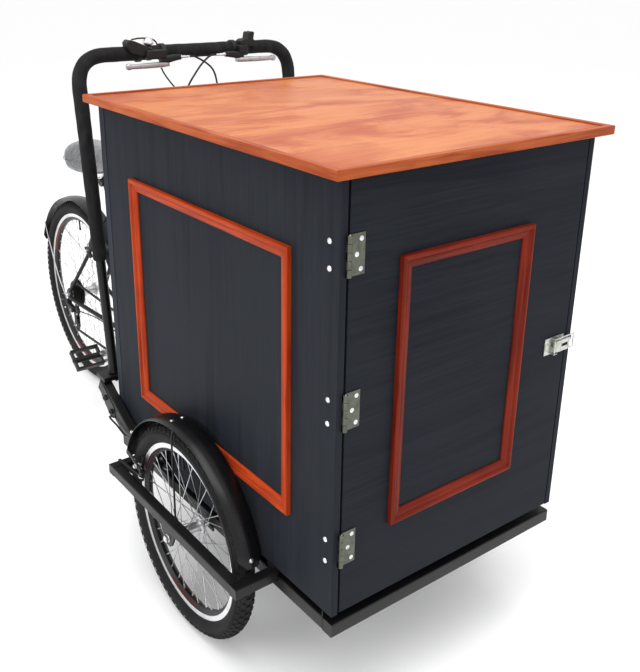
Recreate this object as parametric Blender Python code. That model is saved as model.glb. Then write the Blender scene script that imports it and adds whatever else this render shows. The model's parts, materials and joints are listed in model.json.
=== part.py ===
"""Front-loading cargo tricycle with a wooden vending box, as separate solids.

Metres, +Z up. The box faces -Y (its door side), the rider's bicycle half is
behind it at +Y, and -X is the rider's right, the drive side. Everything hangs
on one empty that carries the origin to the middle of the footprint.
"""
from math import atan2, cos, pi, radians, sin, tan

import bmesh
import bpy
from mathutils import Matrix, Vector

# Driving dimensions. Y is measured from the middle of the box.
GAP = 0.0003                     # between pieces that touch
BOX_W, BOX_D = 0.646, 0.898      # outside of the panels
PANEL = 0.015                    # plywood thickness
BASE_LOW, BASE_TOP = 0.276, 0.306
BASE_TUBE = 0.030
LID_W, LID_D = 0.702, 0.944
LID_LOW, LID_TOP = 1.163, 1.181
LID_EDGE = 0.014                 # width of the raised edging
MOULD_W, MOULD_T = 0.026, 0.012
DOOR_GAP = 0.003
HINGE_HEIGHTS = {"top": 1.030, "middle": 0.743, "bottom": 0.455}
HINGE_H = 0.073
KNUCKLE_R = 0.0045

FRONT_TYRE_R, FRONT_TRACK_R = 0.253, 0.209
WHEEL_X, WHEEL_Y = 0.367, 0.018  # centre of each front wheel
REAR_TYRE_R, REAR_TRACK_R = 0.332, 0.2855
REAR_Y = 1.400
TYRE_HALF = 0.025
BAY_TUBE = 0.025
BAY_OUT = 0.426
BAY_FRONT, BAY_REAR = -0.273, 0.310
BAY_LOW, BAY_TOP = 0.277, 0.302
AXLE_R = 0.005
HUB_HALF, REAR_HUB_HALF = 0.050, 0.0675
SPOKES = 12                      # a third of the real ones, enough to carry the rim

PIN_Y, PIN_R = 0.535, 0.0165     # steering pin behind the box
HEAD_LOW, HEAD_TOP = 0.3065, 0.4375

BAR_X, BAR_FOOT_Y, BAR_FOOT_Z = 0.312, 0.500, 0.4463
BAR_LEAN = radians(6.0)
BAR_TOP_Z = 1.253
BAR_R, SLEEVE_R = 0.0125, 0.018
BAR_BEND = 0.075

BB_Y, BB_Z = 0.965, 0.285        # bottom bracket
SEAT_ANGLE = radians(68.5)
SEAT_TUBE_TOP = 0.715
STAY_TOP = 0.680                 # where the seat stays meet the seat tube
SADDLE_Y = 1.195
CRANK_LEN, CRANK_ANGLE = 0.170, radians(-28.0)
PEDAL_TIP = radians(38.0)        # how far each platform leans forwards
RING_R, RING_X = 0.0765, -0.045
SPROCKET_R = 0.0365

FRONT_END = -LID_D / 2
REAR_END = REAR_Y + REAR_TYRE_R
ORIGIN_Y = (FRONT_END + REAR_END) / 2

for old in list(bpy.data.objects):
    bpy.data.objects.remove(old)

origin = bpy.data.objects.new("origin", None)
bpy.context.scene.collection.objects.link(origin)
origin.location = (0, -ORIGIN_Y, 0)


def paint(name, colour, roughness, metallic=0.0):
    """One material with a Principled surface."""
    mat = bpy.data.materials.new(name)
    mat.use_nodes = True
    shader = mat.node_tree.nodes["Principled BSDF"]
    shader.inputs["Base Color"].default_value = (*colour, 1)
    shader.inputs["Roughness"].default_value = roughness
    shader.inputs["Metallic"].default_value = metallic
    return mat


BLACK_WOOD = paint("black_stained_ply", (0.022, 0.024, 0.028), 0.55)
LID_WOOD = paint("orange_stained_ply", (0.62, 0.23, 0.08), 0.45)
TRIM_WOOD = paint("red_stained_trim", (0.48, 0.09, 0.03), 0.45)
STEEL = paint("black_painted_steel", (0.015, 0.015, 0.017), 0.4)
ZINC = paint("zinc_plate", (0.60, 0.56, 0.46), 0.35, 1.0)
ALLOY = paint("alloy", (0.62, 0.62, 0.63), 0.35, 1.0)
RUBBER = paint("tyre_rubber", (0.02, 0.02, 0.02), 0.85)
RIM_BLACK = paint("rim_black", (0.025, 0.025, 0.027), 0.4, 0.6)
FOAM = paint("foam_sleeve", (0.018, 0.018, 0.019), 0.9)
PLASTIC = paint("black_plastic", (0.03, 0.03, 0.032), 0.5)
SADDLE_SKIN = paint("saddle_cover", (0.12, 0.12, 0.125), 0.4)
CHAIN_STEEL = paint("chain_steel", (0.10, 0.09, 0.08), 0.4, 1.0)


# Building blocks ------------------------------------------------------------

def piece(name, mesh, mat, pivot=(0, 0, 0), angle=35):
    """Turn a bmesh into a named object whose origin is at pivot."""
    bmesh.ops.recalc_face_normals(mesh, faces=mesh.faces)
    bmesh.ops.translate(mesh, verts=mesh.verts, vec=-Vector(pivot))
    data = bpy.data.meshes.new(name)
    mesh.to_mesh(data)
    mesh.free()
    data.shade_smooth()
    data.set_sharp_from_angle(angle=radians(angle))
    data.materials.append(mat)
    obj = bpy.data.objects.new(name, data)
    bpy.context.scene.collection.objects.link(obj)
    obj.parent = origin
    obj.location = pivot
    return obj


def combine(obj, mesh, operation="UNION"):
    """Weld another solid to obj, or cut it out of obj."""
    tool = piece(obj.name + "_tool", mesh, STEEL)
    tool.hide_render = True
    tool.display_type = "WIRE"
    step = obj.modifiers.new(operation.lower(), "BOOLEAN")
    step.operation = operation
    step.solver = "EXACT"
    step.object = tool
    return obj


def weld(name, solids, mat, cuts=(), pivot=(0, 0, 0)):
    """One body from overlapping solids, less the cuts."""
    obj = piece(name, solids[0], mat, pivot)
    for solid in solids[1:]:
        combine(obj, solid)
    for cut in cuts:
        combine(obj, cut, "DIFFERENCE")
    return obj


def slab(low, high):
    """A box between two corners."""
    low, high = Vector(low), Vector(high)
    mesh = bmesh.new()
    place = Matrix.Translation((low + high) / 2) @ Matrix.Diagonal((*(high - low), 1))
    bmesh.ops.create_cube(mesh, size=1, matrix=place)
    return mesh


def sided_slab(side, low, high):
    """A box given for the +X side, mirrored to the right when side is -1."""
    xs = sorted((side * low[0], side * high[0]))
    return slab((xs[0], low[1], low[2]), (xs[1], high[1], high[2]))


def skin(rings, closed=False):
    """Quads between rings of points, with flat ends unless the run is closed."""
    mesh = bmesh.new()
    loops = [[mesh.verts.new(point) for point in ring] for ring in rings]
    count = len(loops[0])
    last = len(loops) if closed else len(loops) - 1
    for i in range(last):
        a, b = loops[i], loops[(i + 1) % len(loops)]
        for j in range(count):
            k = (j + 1) % count
            mesh.faces.new((a[j], a[k], b[k], b[j]))
    if not closed:
        mesh.faces.new(loops[0])
        mesh.faces.new(loops[-1])
    return mesh


def prism(outline, offset):
    """A flat outline pushed along offset."""
    shift = Vector(offset)
    points = [Vector(p) for p in outline]
    return skin([points, [p + shift for p in points]])


def frames(points):
    """Two cross directions at each point of a path, turned as little as possible."""
    path = [Vector(p) for p in points]
    result = []
    across = None
    for i, point in enumerate(path):
        ahead = path[min(i + 1, len(path) - 1)] - point
        behind = point - path[max(i - 1, 0)]
        along = (ahead.normalized() + behind.normalized()).normalized()
        if across is None:
            guide = Vector((0, 0, 1)) if abs(along.z) < 0.8 else Vector((1, 0, 0))
            across = guide.cross(along).normalized()
        across = (across - along * across.dot(along)).normalized()
        bend = ahead.angle(behind) if ahead.length and behind.length else 0.0
        result.append((point, across, along.cross(across), 1 / cos(bend / 2), along))
    return result


def rod(points, radius, sides=12):
    """A round bar along a path, mitred at its corners."""
    rings = []
    for point, u, v, _, _ in frames(points):
        rings.append([point + radius * (cos(t) * u + sin(t) * v)
                      for t in (2 * pi * k / sides for k in range(sides))])
    return skin(rings)


def bar(start, end, width, height, up=(0, 0, 1)):
    """A rectangular bar from start to end."""
    start, end = Vector(start), Vector(end)
    along = (end - start).normalized()
    side = along.cross(Vector(up)).normalized() * width / 2
    top = side.cross(along).normalized() * height / 2
    rings = [[p + side + top, p - side + top, p - side - top, p + side - top]
             for p in (start, end)]
    return skin(rings)


def pipe(points, outer, inner, sides=10):
    """A hollow tube along a path, open at both ends."""
    mesh = bmesh.new()
    walls = []
    for radius in (outer, inner):
        rings = []
        for point, u, v, _, _ in frames(points):
            rings.append([mesh.verts.new(point + radius * (cos(t) * u + sin(t) * v))
                          for t in (2 * pi * k / sides for k in range(sides))])
        walls.append(rings)
        for a, b in zip(rings, rings[1:]):
            for j in range(sides):
                k = (j + 1) % sides
                mesh.faces.new((a[j], a[k], b[k], b[j]))
    for end in (0, -1):
        a, b = walls[0][end], walls[1][end]
        for j in range(sides):
            k = (j + 1) % sides
            mesh.faces.new((a[j], a[k], b[k], b[j]))
    return mesh


def turned(profile, centre, axis="X", steps=24):
    """Spin (radius, along) points about an axis; a profile off the axis closes on itself."""
    centre = Vector(centre)
    order = {"X": (1, 2, 0), "Y": (2, 0, 1), "Z": (0, 1, 2)}[axis]
    mesh = bmesh.new()
    loops = []
    for radius, along in profile:
        ring = []
        for k in range(steps if radius > 0 else 1):
            t = 2 * pi * k / steps
            p = Vector((0, 0, 0))
            p[order[0]] = radius * cos(t)
            p[order[1]] = radius * sin(t)
            p[order[2]] = along
            ring.append(mesh.verts.new(centre + p))
        loops.append(ring)
    hollow = all(radius > 0 for radius, _ in profile)
    for i in range(len(loops) if hollow else len(loops) - 1):
        a, b = loops[i], loops[(i + 1) % len(loops)]
        for k in range(steps):
            n = (k + 1) % steps
            corners = [a[k % len(a)], a[n % len(a)], b[n % len(b)], b[k % len(b)]]
            mesh.faces.new(list(dict.fromkeys(corners)))
    return mesh


def disc(radius, start, end, centre, axis="X", steps=16):
    """A plain cylinder from start to end along an axis through centre."""
    return turned([(0, start), (radius, start), (radius, end), (0, end)], centre, axis, steps)


def on_wheel(centre, radius, angle, x=0.0):
    """A point beside a wheel: angle is measured up from straight behind the axle."""
    return Vector((centre[0] + x, centre[1] + radius * cos(angle),
                   centre[2] + radius * sin(angle)))


def on_bar(x, along):
    """A point in the leaning plane of the handlebar."""
    return Vector((x, BAR_FOOT_Y + along * sin(BAR_LEAN), BAR_FOOT_Z + along * cos(BAR_LEAN)))


# The box ---------------------------------------------------------------------

def picture_frame(outer, width, thick, face, direction, axis):
    """A mitred moulding frame: raised outer bead, sloping inwards.

    outer is (low, high) across and (low, high) up; face is where its back sits.
    """
    (a0, a1), (b0, b1) = outer
    rings = []
    for inset, height in ((0, 0), (0, thick * 0.85), (width * 0.12, thick),
                          (width * 0.42, thick), (width * 0.55, thick * 0.7),
                          (width, thick * 0.45), (width, 0)):
        level = face + direction * height
        flat = ((a0 + inset, b0 + inset), (a1 - inset, b0 + inset),
                (a1 - inset, b1 - inset), (a0 + inset, b1 - inset))
        if axis == "X":
            rings.append([Vector((level, a, b)) for a, b in flat])
        else:
            rings.append([Vector((a, level, b)) for a, b in flat])
    return skin(rings, closed=True)


def build_box():
    """Floor, walls, lid and the mouldings on the walls."""
    half_w, half_d = BOX_W / 2, BOX_D / 2
    inner = half_w - PANEL
    low, top = BASE_TOP + GAP, LID_LOW - GAP
    piece("box_floor", slab((-inner + GAP, -half_d + PANEL + 0.0015, low),
                            (inner - GAP, half_d - PANEL - GAP, low + PANEL)), BLACK_WOOD)
    piece("rear_panel", slab((-inner + GAP, half_d - PANEL, low),
                             (inner - GAP, half_d, top)), BLACK_WOOD)
    for side, hand in ((-1, "right"), (1, "left")):
        piece("side_panel_" + hand, sided_slab(side, (inner, -half_d, low),
                                               (half_w, half_d, top)), BLACK_WOOD)
        piece("side_moulding_" + hand,
              picture_frame(((-0.316, 0.295), (0.465, 1.014)), MOULD_W, MOULD_T,
                            side * (half_w + GAP), side, "X"), TRIM_WOOD)
    edge = LID_EDGE
    piece("lid_board", slab((-LID_W / 2 + edge + GAP, -LID_D / 2 + edge + GAP, LID_LOW),
                            (LID_W / 2 - edge - GAP, LID_D / 2 - edge - GAP, LID_TOP - 0.0035)),
          LID_WOOD)
    rings = []
    for inset, z in ((0, LID_LOW), (0, LID_TOP - 0.001), (0.001, LID_TOP),
                     (edge, LID_TOP), (edge, LID_LOW)):
        x, y = LID_W / 2 - inset, LID_D / 2 - inset
        rings.append([Vector((-x, -y, z)), Vector((x, -y, z)), Vector((x, y, z)),
                      Vector((-x, y, z))])
    piece("lid_edging", skin(rings, closed=True), TRIM_WOOD)


DOOR_AXIS = (-(BOX_W / 2 - PANEL) + 0.0005, -BOX_D / 2 - 0.0052)
DOOR_PIVOT = (*DOOR_AXIS, (BASE_TOP + LID_LOW) / 2)


def build_door():
    """The side-hung front door, its moulding and the three butt hinges."""
    inner, face = BOX_W / 2 - PANEL, -BOX_D / 2
    low, top = BASE_TOP + DOOR_GAP, LID_LOW - DOOR_GAP
    door_x = -inner + 0.0045
    piece("door_panel", slab((door_x, face, low), (inner - 0.0025, face + PANEL, top)),
          BLACK_WOOD, DOOR_PIVOT)
    piece("door_moulding", picture_frame(((-0.190, 0.154), (0.465, 1.009)), MOULD_W, MOULD_T,
                                         face - GAP, -1, "Y"), TRIM_WOOD, DOOR_PIVOT)
    for level, z in HINGE_HEIGHTS.items():
        build_hinge(level, z)


def build_hinge(level, z):
    """A butt hinge: the fixed leaf lies in the gap, the other on the door's face."""
    inner, face = BOX_W / 2 - PANEL, -BOX_D / 2
    axis_x, axis_y = DOOR_AXIS
    low, high = z - HINGE_H / 2, z + HINGE_H / 2
    fifth = HINGE_H / 5
    plate = slab((-inner + GAP, face - 0.004, low), (-inner + 0.0020, face + 0.033, high))
    solids = [plate]
    for k in (0, 2, 4):
        solids.append(disc(KNUCKLE_R, low + fifth * k + GAP, low + fifth * (k + 1) - GAP,
                           (axis_x, axis_y, 0), "Z", 12))
    cuts = [disc(KNUCKLE_R + 0.0005, low + fifth * k - GAP, low + fifth * (k + 1) + GAP,
                 (axis_x, axis_y, 0), "Z", 12) for k in (1, 3)]
    pin = disc(0.0018, low - 0.001, high + 0.001, (axis_x, axis_y, 0), "Z", 10)
    weld("hinge_%s_fixed" % level, solids, ZINC, cuts)
    combine(bpy.data.objects["hinge_%s_fixed" % level], pin)
    leaf = slab((axis_x + 0.0022, face - 0.0022, low), (axis_x + 0.036, face - GAP, high))
    solids = [leaf]
    for k in (1, 3):
        solids.append(disc(KNUCKLE_R, low + fifth * k + GAP, low + fifth * (k + 1) - GAP,
                           (axis_x, axis_y, 0), "Z", 12))
    cuts = [disc(KNUCKLE_R + 0.0005, low + fifth * k - GAP, low + fifth * (k + 1) + GAP,
                 (axis_x, axis_y, 0), "Z", 12) for k in (0, 2, 4)]
    cuts.append(disc(0.0022, low - 0.002, high + 0.002, (axis_x, axis_y, 0), "Z", 10))
    weld("hinge_%s_moving" % level, solids, ZINC, cuts, DOOR_PIVOT)


LATCH_Z = 0.722
LATCH_PIN = (0.262, -BOX_D / 2 - 0.0085)       # the lever turns here, x and y
BAIL_PIN = (LATCH_PIN[0] + 0.0085, LATCH_PIN[1])


def build_latch():
    """A toggle latch on the door and its keeper on the left side panel."""
    face, side, z = -BOX_D / 2, BOX_W / 2, LATCH_Z
    px, py = LATCH_PIN
    solids = [slab((0.236, face - 0.0022, z - 0.019), (0.296, face - GAP, z + 0.019))]
    for ear in (-0.0178, 0.0178):
        solids.append(slab((px - 0.006, face - 0.012, z + ear - 0.0008),
                           (px + 0.006, face - 0.001, z + ear + 0.0008)))
    solids.append(disc(0.0015, z - 0.0184, z + 0.0184, (px, py, 0), "Z", 10))
    weld("latch_base", solids, ZINC, (), DOOR_PIVOT)

    plate = slab((px - 0.004, py - 0.0045, z - 0.0125), (px + 0.044, py - 0.0025, z + 0.0125))
    knuckle = disc(0.0042, z - 0.0125, z + 0.0125, (px, py, 0), "Z", 12)
    bore = disc(0.0019, z - 0.018, z + 0.018, (px, py, 0), "Z", 10)
    slot = slab((px + 0.016, py - 0.006, z - 0.0035), (px + 0.036, py - 0.001, z + 0.0035))
    weld("latch_lever", [plate, knuckle], ZINC, [bore, slot], (px, py, z))

    half = [(BAIL_PIN[0], BAIL_PIN[1]), (side + 0.002, face - 0.0078), (side + 0.0105, face - 0.0010)]
    upper = [Vector((x, y, z + 0.0150)) for x, y in half]
    lower = [Vector((x, y, z - 0.0150)) for x, y in reversed(half)]
    piece("latch_bail", rod(upper + lower, 0.0015, 8), ALLOY, (*BAIL_PIN, z))

    back = slab((side + GAP, face + 0.004, z - 0.016), (side + 0.002, face + 0.034, z + 0.016))
    hook = slab((side + 0.001, face + 0.004, z - 0.006), (side + 0.011, face + 0.0065, z + 0.006))
    weld("latch_keeper", [back, hook], ZINC)


# The chassis under the box ----------------------------------------------------

def build_base():
    """Welded ring of square tube with the steering pin behind it."""
    out_x, out_y = BOX_W / 2 - 0.002, BOX_D / 2
    tube = BASE_TUBE
    rings = []
    for inset, z in ((0, BASE_LOW), (0, BASE_TOP), (tube, BASE_TOP), (tube, BASE_LOW)):
        x, y = out_x - inset, out_y - inset
        rings.append([Vector((-x, -y, z)), Vector((x, -y, z)), Vector((x, y, z)), Vector((-x, y, z))])
    solids = [skin(rings, closed=True)]
    for y in (-0.19, 0.16):
        solids.append(slab((-out_x + 0.01, y, BASE_LOW + 0.003), (out_x - 0.01, y + tube, BASE_TOP - 0.003)))
    solids.append(slab((-0.025, 0.17, BASE_LOW + 0.001), (0.025, PIN_Y + 0.028, BASE_TOP - 0.001)))
    solids.append(slab((-0.020, out_y + 0.003, BASE_LOW + 0.004), (0.020, out_y + 0.027, HEAD_TOP + 0.030)))
    solids.append(slab((-0.022, out_y + 0.005, HEAD_TOP + 0.0035), (0.022, PIN_Y + 0.026, HEAD_TOP + 0.0285)))
    solids.append(disc(PIN_R, BASE_LOW + 0.01, HEAD_TOP + 0.02, (0, PIN_Y, 0), "Z", 16))
    for side in (-1, 1):
        solids.append(sided_slab(side, (WHEEL_X - HUB_HALF - 0.005, WHEEL_Y - 0.020, 0.236),
                                 (WHEEL_X - HUB_HALF - GAP, WHEEL_Y + 0.020, BASE_LOW + 0.012)))
    weld("base_frame", solids, STEEL)


FRONT_AXLE_Z = FRONT_TYRE_R
BRAKE_ANGLE = radians(22.0)      # where the front brakes sit, above straight behind the axle
BRAKE_DROP = 0.033               # from a rim's track edge in to the brake's pivot
STUD_R, STUD_LEN = 0.0034, 0.018
FRONT_SPREAD, REAR_SPREAD = 0.0335, 0.0475


def brake_directions(angle):
    """Outwards along a wheel's radius, and round the wheel, where a brake sits."""
    return Vector((0, cos(angle), sin(angle))), Vector((0, -sin(angle), cos(angle)))


def build_side_frame(side, hand):
    """Rail round one front wheel, its dropout and axle, brake lugs and handlebar mount."""
    base_x = BOX_W / 2 - 0.002 + GAP
    t = BAY_TUBE
    outline = [(base_x, BAY_FRONT), (BAY_OUT, BAY_FRONT), (BAY_OUT, BAY_REAR), (base_x, BAY_REAR),
               (base_x, BAY_REAR - t), (BAY_OUT - t, BAY_REAR - t), (BAY_OUT - t, BAY_FRONT + t),
               (base_x, BAY_FRONT + t)]
    rail = prism([(side * x, y, BAY_LOW) for x, y in outline], (0, 0, BAY_TOP - BAY_LOW))
    outer = WHEEL_X + HUB_HALF
    centre = (side * WHEEL_X, WHEEL_Y, FRONT_AXLE_Z)
    solids = [rail]
    plate = [(WHEEL_Y - 0.040, BAY_LOW + 0.01), (WHEEL_Y - 0.016, 0.240), (WHEEL_Y, 0.234),
             (WHEEL_Y + 0.016, 0.240), (WHEEL_Y + 0.040, BAY_LOW + 0.01)]
    solids.append(prism([(side * (outer + GAP), y, z) for y, z in plate], (side * 0.005, 0, 0)))
    x0, x1 = sorted((side * (WHEEL_X - HUB_HALF + GAP), side * (outer + 0.015)))
    solids.append(disc(AXLE_R, x0, x1, (0, WHEEL_Y, FRONT_AXLE_Z), "X", 10))
    x0, x1 = sorted((side * (outer + 0.0045), side * (outer + 0.0115)))
    solids.append(disc(0.0085, x0, x1, (0, WHEEL_Y, FRONT_AXLE_Z), "X", 6))
    _, tangent = brake_directions(BRAKE_ANGLE)
    for reach in (-1, 1):
        stud = on_wheel(centre, FRONT_TRACK_R - BRAKE_DROP, BRAKE_ANGLE, side * reach * FRONT_SPREAD)
        root = Vector((stud.x, BAY_REAR - 0.008, BAY_TOP + 0.001))
        solids.append(bar(stud + Vector((0, -0.006, 0.001)), root, 0.007, 0.014))
        solids.append(rod([stud - tangent * 0.002, stud + tangent * STUD_LEN], STUD_R, 8))
    foot = Vector((side * (BOX_W / 2 + 0.0155), BAR_FOOT_Y + 0.010, BAR_FOOT_Z - 0.026))
    toe = Vector((side * (BOX_W / 2 + 0.0155), BAY_REAR - 0.008, BAY_TOP + 0.003))
    solids.append(bar(toe, foot, 0.025, 0.042))
    solids.append(sided_slab(side, (BAR_X - 0.022, BAR_FOOT_Y - 0.024, BAR_FOOT_Z - 0.0123),
                             (BOX_W / 2 + 0.0275, BAR_FOOT_Y + 0.026, BAR_FOOT_Z - GAP)))
    weld("side_frame_" + hand, solids, STEEL)


# Wheels -----------------------------------------------------------------------

def build_wheel(tag, centre, tyre_r, track_r, hub_half, steps, rim_depth=0.021, hub_extra=()):
    """Tyre, rim and a spoked hub turning on one axle."""
    tyre_mid = (tyre_r + track_r) / 2 - 0.003
    tall = tyre_r - tyre_mid
    profile = [(track_r + 0.0008, -0.0095), (track_r + 0.007, -0.0195), (tyre_mid, -TYRE_HALF),
               (tyre_mid + tall * 0.6, -0.0205), (tyre_r, -0.009), (tyre_r, 0.009),
               (tyre_mid + tall * 0.6, 0.0205), (tyre_mid, TYRE_HALF),
               (track_r + 0.007, 0.0195), (track_r + 0.0008, 0.0095)]
    piece("tyre_" + tag, turned(profile, centre, "X", steps), RUBBER, centre)
    inner = track_r - rim_depth
    profile = [(track_r, -0.012), (track_r, 0.012), (track_r - 0.012, 0.0118), (inner, 0.005),
               (inner, -0.005), (track_r - 0.012, -0.0118)]
    piece("rim_" + tag, turned(profile, centre, "X", steps), RIM_BLACK, centre)
    end = hub_half - 0.0012
    bore = AXLE_R + 0.0004
    profile = [(bore, -end), (0.0085, -end), (0.0085, -0.034), (0.014, -0.032), (0.022, -0.0305),
               (0.022, -0.0275), (0.014, -0.025), (0.014, 0.025), (0.022, 0.0275),
               (0.022, 0.0305), (0.014, 0.032), (0.0085, 0.034), (0.0085, end), (bore, end)]
    if hub_extra:
        profile = list(hub_extra)
    hub = turned(profile, centre, "X", 12)
    spokes = bmesh.new()
    reach = inner * cos(pi / steps) - 0.0006
    for k in range(SPOKES):
        t = 2 * pi * (k + 0.5) / SPOKES
        flange = 0.0285 if k % 2 else -0.0285
        if hub_extra and flange < 0:
            flange = -0.0205
        start = on_wheel(centre, 0.0195, t, flange)
        finish = on_wheel(centre, reach, t, flange * 0.08)
        one = rod([start, finish], 0.0012, 4)
        one.verts.ensure_lookup_table()
        grown = bpy.data.meshes.new("spoke")
        one.to_mesh(grown)
        one.free()
        spokes.from_mesh(grown)
        bpy.data.meshes.remove(grown)
    weld("hub_" + tag, [hub, spokes], ALLOY, (), centre)


def fender(centre, radius, half, start, end, steps, thick=0.0016, crown=0.006):
    """A curved mudguard shell with an arched section."""
    rings = []
    for i in range(steps + 1):
        angle = start + (end - start) * i / steps
        ring = []
        outer = [(-half, 0.0), (-half * 0.55, crown * 0.75), (0.0, crown),
                 (half * 0.55, crown * 0.75), (half, 0.0)]
        for x, lift in outer:
            ring.append(on_wheel(centre, radius + thick + lift, angle, x))
        for x, lift in reversed(outer):
            ring.append(on_wheel(centre, radius + lift, angle, x))
        rings.append(ring)
    return skin(rings)


def build_front_corner(side, hand):
    """Everything at one front wheel."""
    centre = (side * WHEEL_X, WHEEL_Y, FRONT_AXLE_Z)
    build_wheel(hand, centre, FRONT_TYRE_R, FRONT_TRACK_R, HUB_HALF, 36)
    guard = fender(centre, 0.266, 0.0285, radians(15.0), radians(167.0), 18)
    stay_x, stay_y = side * (WHEEL_X + 0.0315), WHEEL_Y + 0.004
    stay = rod([(stay_x, stay_y, BAY_LOW + 0.004), (stay_x, stay_y, FRONT_AXLE_Z + 0.250),
                (side * (WHEEL_X + 0.0255), stay_y, FRONT_AXLE_Z + 0.2680)], 0.0022, 8)
    weld("mudguard_" + hand, [guard, stay], STEEL)
    radial, tangent = brake_directions(BRAKE_ANGLE)
    for reach, place in ((-1, "inner"), (1, "outer")):
        build_brake_arm("brake_arm_%s_%s" % (place, hand), centre, radial, tangent,
                        side * reach, FRONT_TRACK_R, FRONT_SPREAD, 0.080)


def build_brake_arm(name, centre, radial, tangent, sign, track_r, spread, length):
    """A linear-pull brake arm with its pad; it swings about its stud, round the wheel's tangent."""
    across = Vector((sign, 0, 0))
    lift = tangent * 0.0135
    stud = Vector(centre) + radial * (track_r - BRAKE_DROP) + across * spread
    pivot = stud + lift
    arm = bar(pivot - radial * 0.008, pivot + radial * length, 0.010, 0.0056, tangent)
    middle = Vector(centre) + radial * (track_r - 0.006) + lift
    block = []
    for place in (middle - tangent * 0.024, middle + tangent * 0.024):
        block.append([place + across * x + radial * r
                      for x, r in ((0.0145, 0.004), (0.0235, 0.004), (0.0235, -0.004), (0.0145, -0.004))])
    post = rod([middle + across * 0.019, middle + across * spread], 0.0026, 8)
    bore = rod([stud - tangent * 0.004, stud + tangent * 0.024], STUD_R + 0.0005, 8)
    weld(name, [arm, skin(block), post], ALLOY, [bore], tuple(pivot))


# Handlebar and controls ----------------------------------------------------------

def bar_path(start=0.002, steps=5):
    """Centre line of the upturned U, from the right foot to the left foot."""
    top = (BAR_TOP_Z - BAR_FOOT_Z) / cos(BAR_LEAN)
    points = [on_bar(-BAR_X, start)]
    for k in range(steps + 1):
        t = pi / 2 * k / steps
        points.append(on_bar(-BAR_X + BAR_BEND * (1 - cos(t)), top - BAR_BEND * (1 - sin(t))))
    left = [Vector((-p.x, p.y, p.z)) for p in reversed(points)]
    return points + left


def build_handlebar():
    """Bent push bar on two feet, with its foam sleeve."""
    piece("handlebar", rod(bar_path(), BAR_R, 10), STEEL)
    sleeve_start = (0.752 - BAR_FOOT_Z) / cos(BAR_LEAN)
    piece("handlebar_sleeve", pipe(bar_path(sleeve_start), SLEEVE_R, BAR_R + 0.0006, 10), FOAM)


CONTROLS = {"right": (-1, 0.150, 0.088), "left": (1, 0.168, 0.135)}
LEVER_LEN = 0.112
BAR_TOP_Y = BAR_FOOT_Y + (BAR_TOP_Z - BAR_FOOT_Z) * tan(BAR_LEAN)


def build_controls():
    """Shifter pod, brake bracket and lever on each side of the top bar."""
    front = BAR_TOP_Y - SLEEVE_R
    for hand, (side, pod_x, pivot_x) in CONTROLS.items():
        near, far = sorted((pod_x - 0.010, pivot_x + 0.004))
        clamp = sided_slab(side, (near - 0.006, front - 0.020, 1.240),
                           (far + 0.006, front - 0.0006, 1.290))
        pod = sided_slab(side, (pod_x - 0.026, front - 0.012, 1.2725),
                         (pod_x + 0.028, front + 0.034, 1.2975))
        bracket = sided_slab(side, (pivot_x - 0.045, front - 0.019, 1.2325),
                             (pivot_x + 0.012, front - 0.003, 1.250))
        solids = [clamp, pod, bracket]
        solids.append(disc(0.004, *sorted((side * (pivot_x - 0.062), side * (pivot_x - 0.040))),
                           (0, front - 0.011, 1.241), "X", 10))
        weld("control_" + hand, solids, PLASTIC)
        pivot = (side * pivot_x, front - 0.011, 1.2255)
        outline = [(-0.012, -0.006), (0.010, -0.008), (0.040, -0.010), (0.080, -0.014),
                   (LEVER_LEN - 0.006, -0.011), (LEVER_LEN, -0.006), (LEVER_LEN - 0.008, -0.003),
                   (0.080, -0.006), (0.040, 0.000), (0.010, 0.006), (-0.012, 0.006)]
        blade = prism([(pivot[0] + side * a, pivot[1] + b, 1.2195) for a, b in outline], (0, 0, 0.0115))
        weld("brake_lever_" + hand, [blade], ALLOY, (), pivot)


# The rider's half --------------------------------------------------------------

def on_seat_tube(z):
    """Centre of the seat tube at a height."""
    return Vector((0, BB_Y + (z - BB_Z) / tan(SEAT_ANGLE), z))


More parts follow.
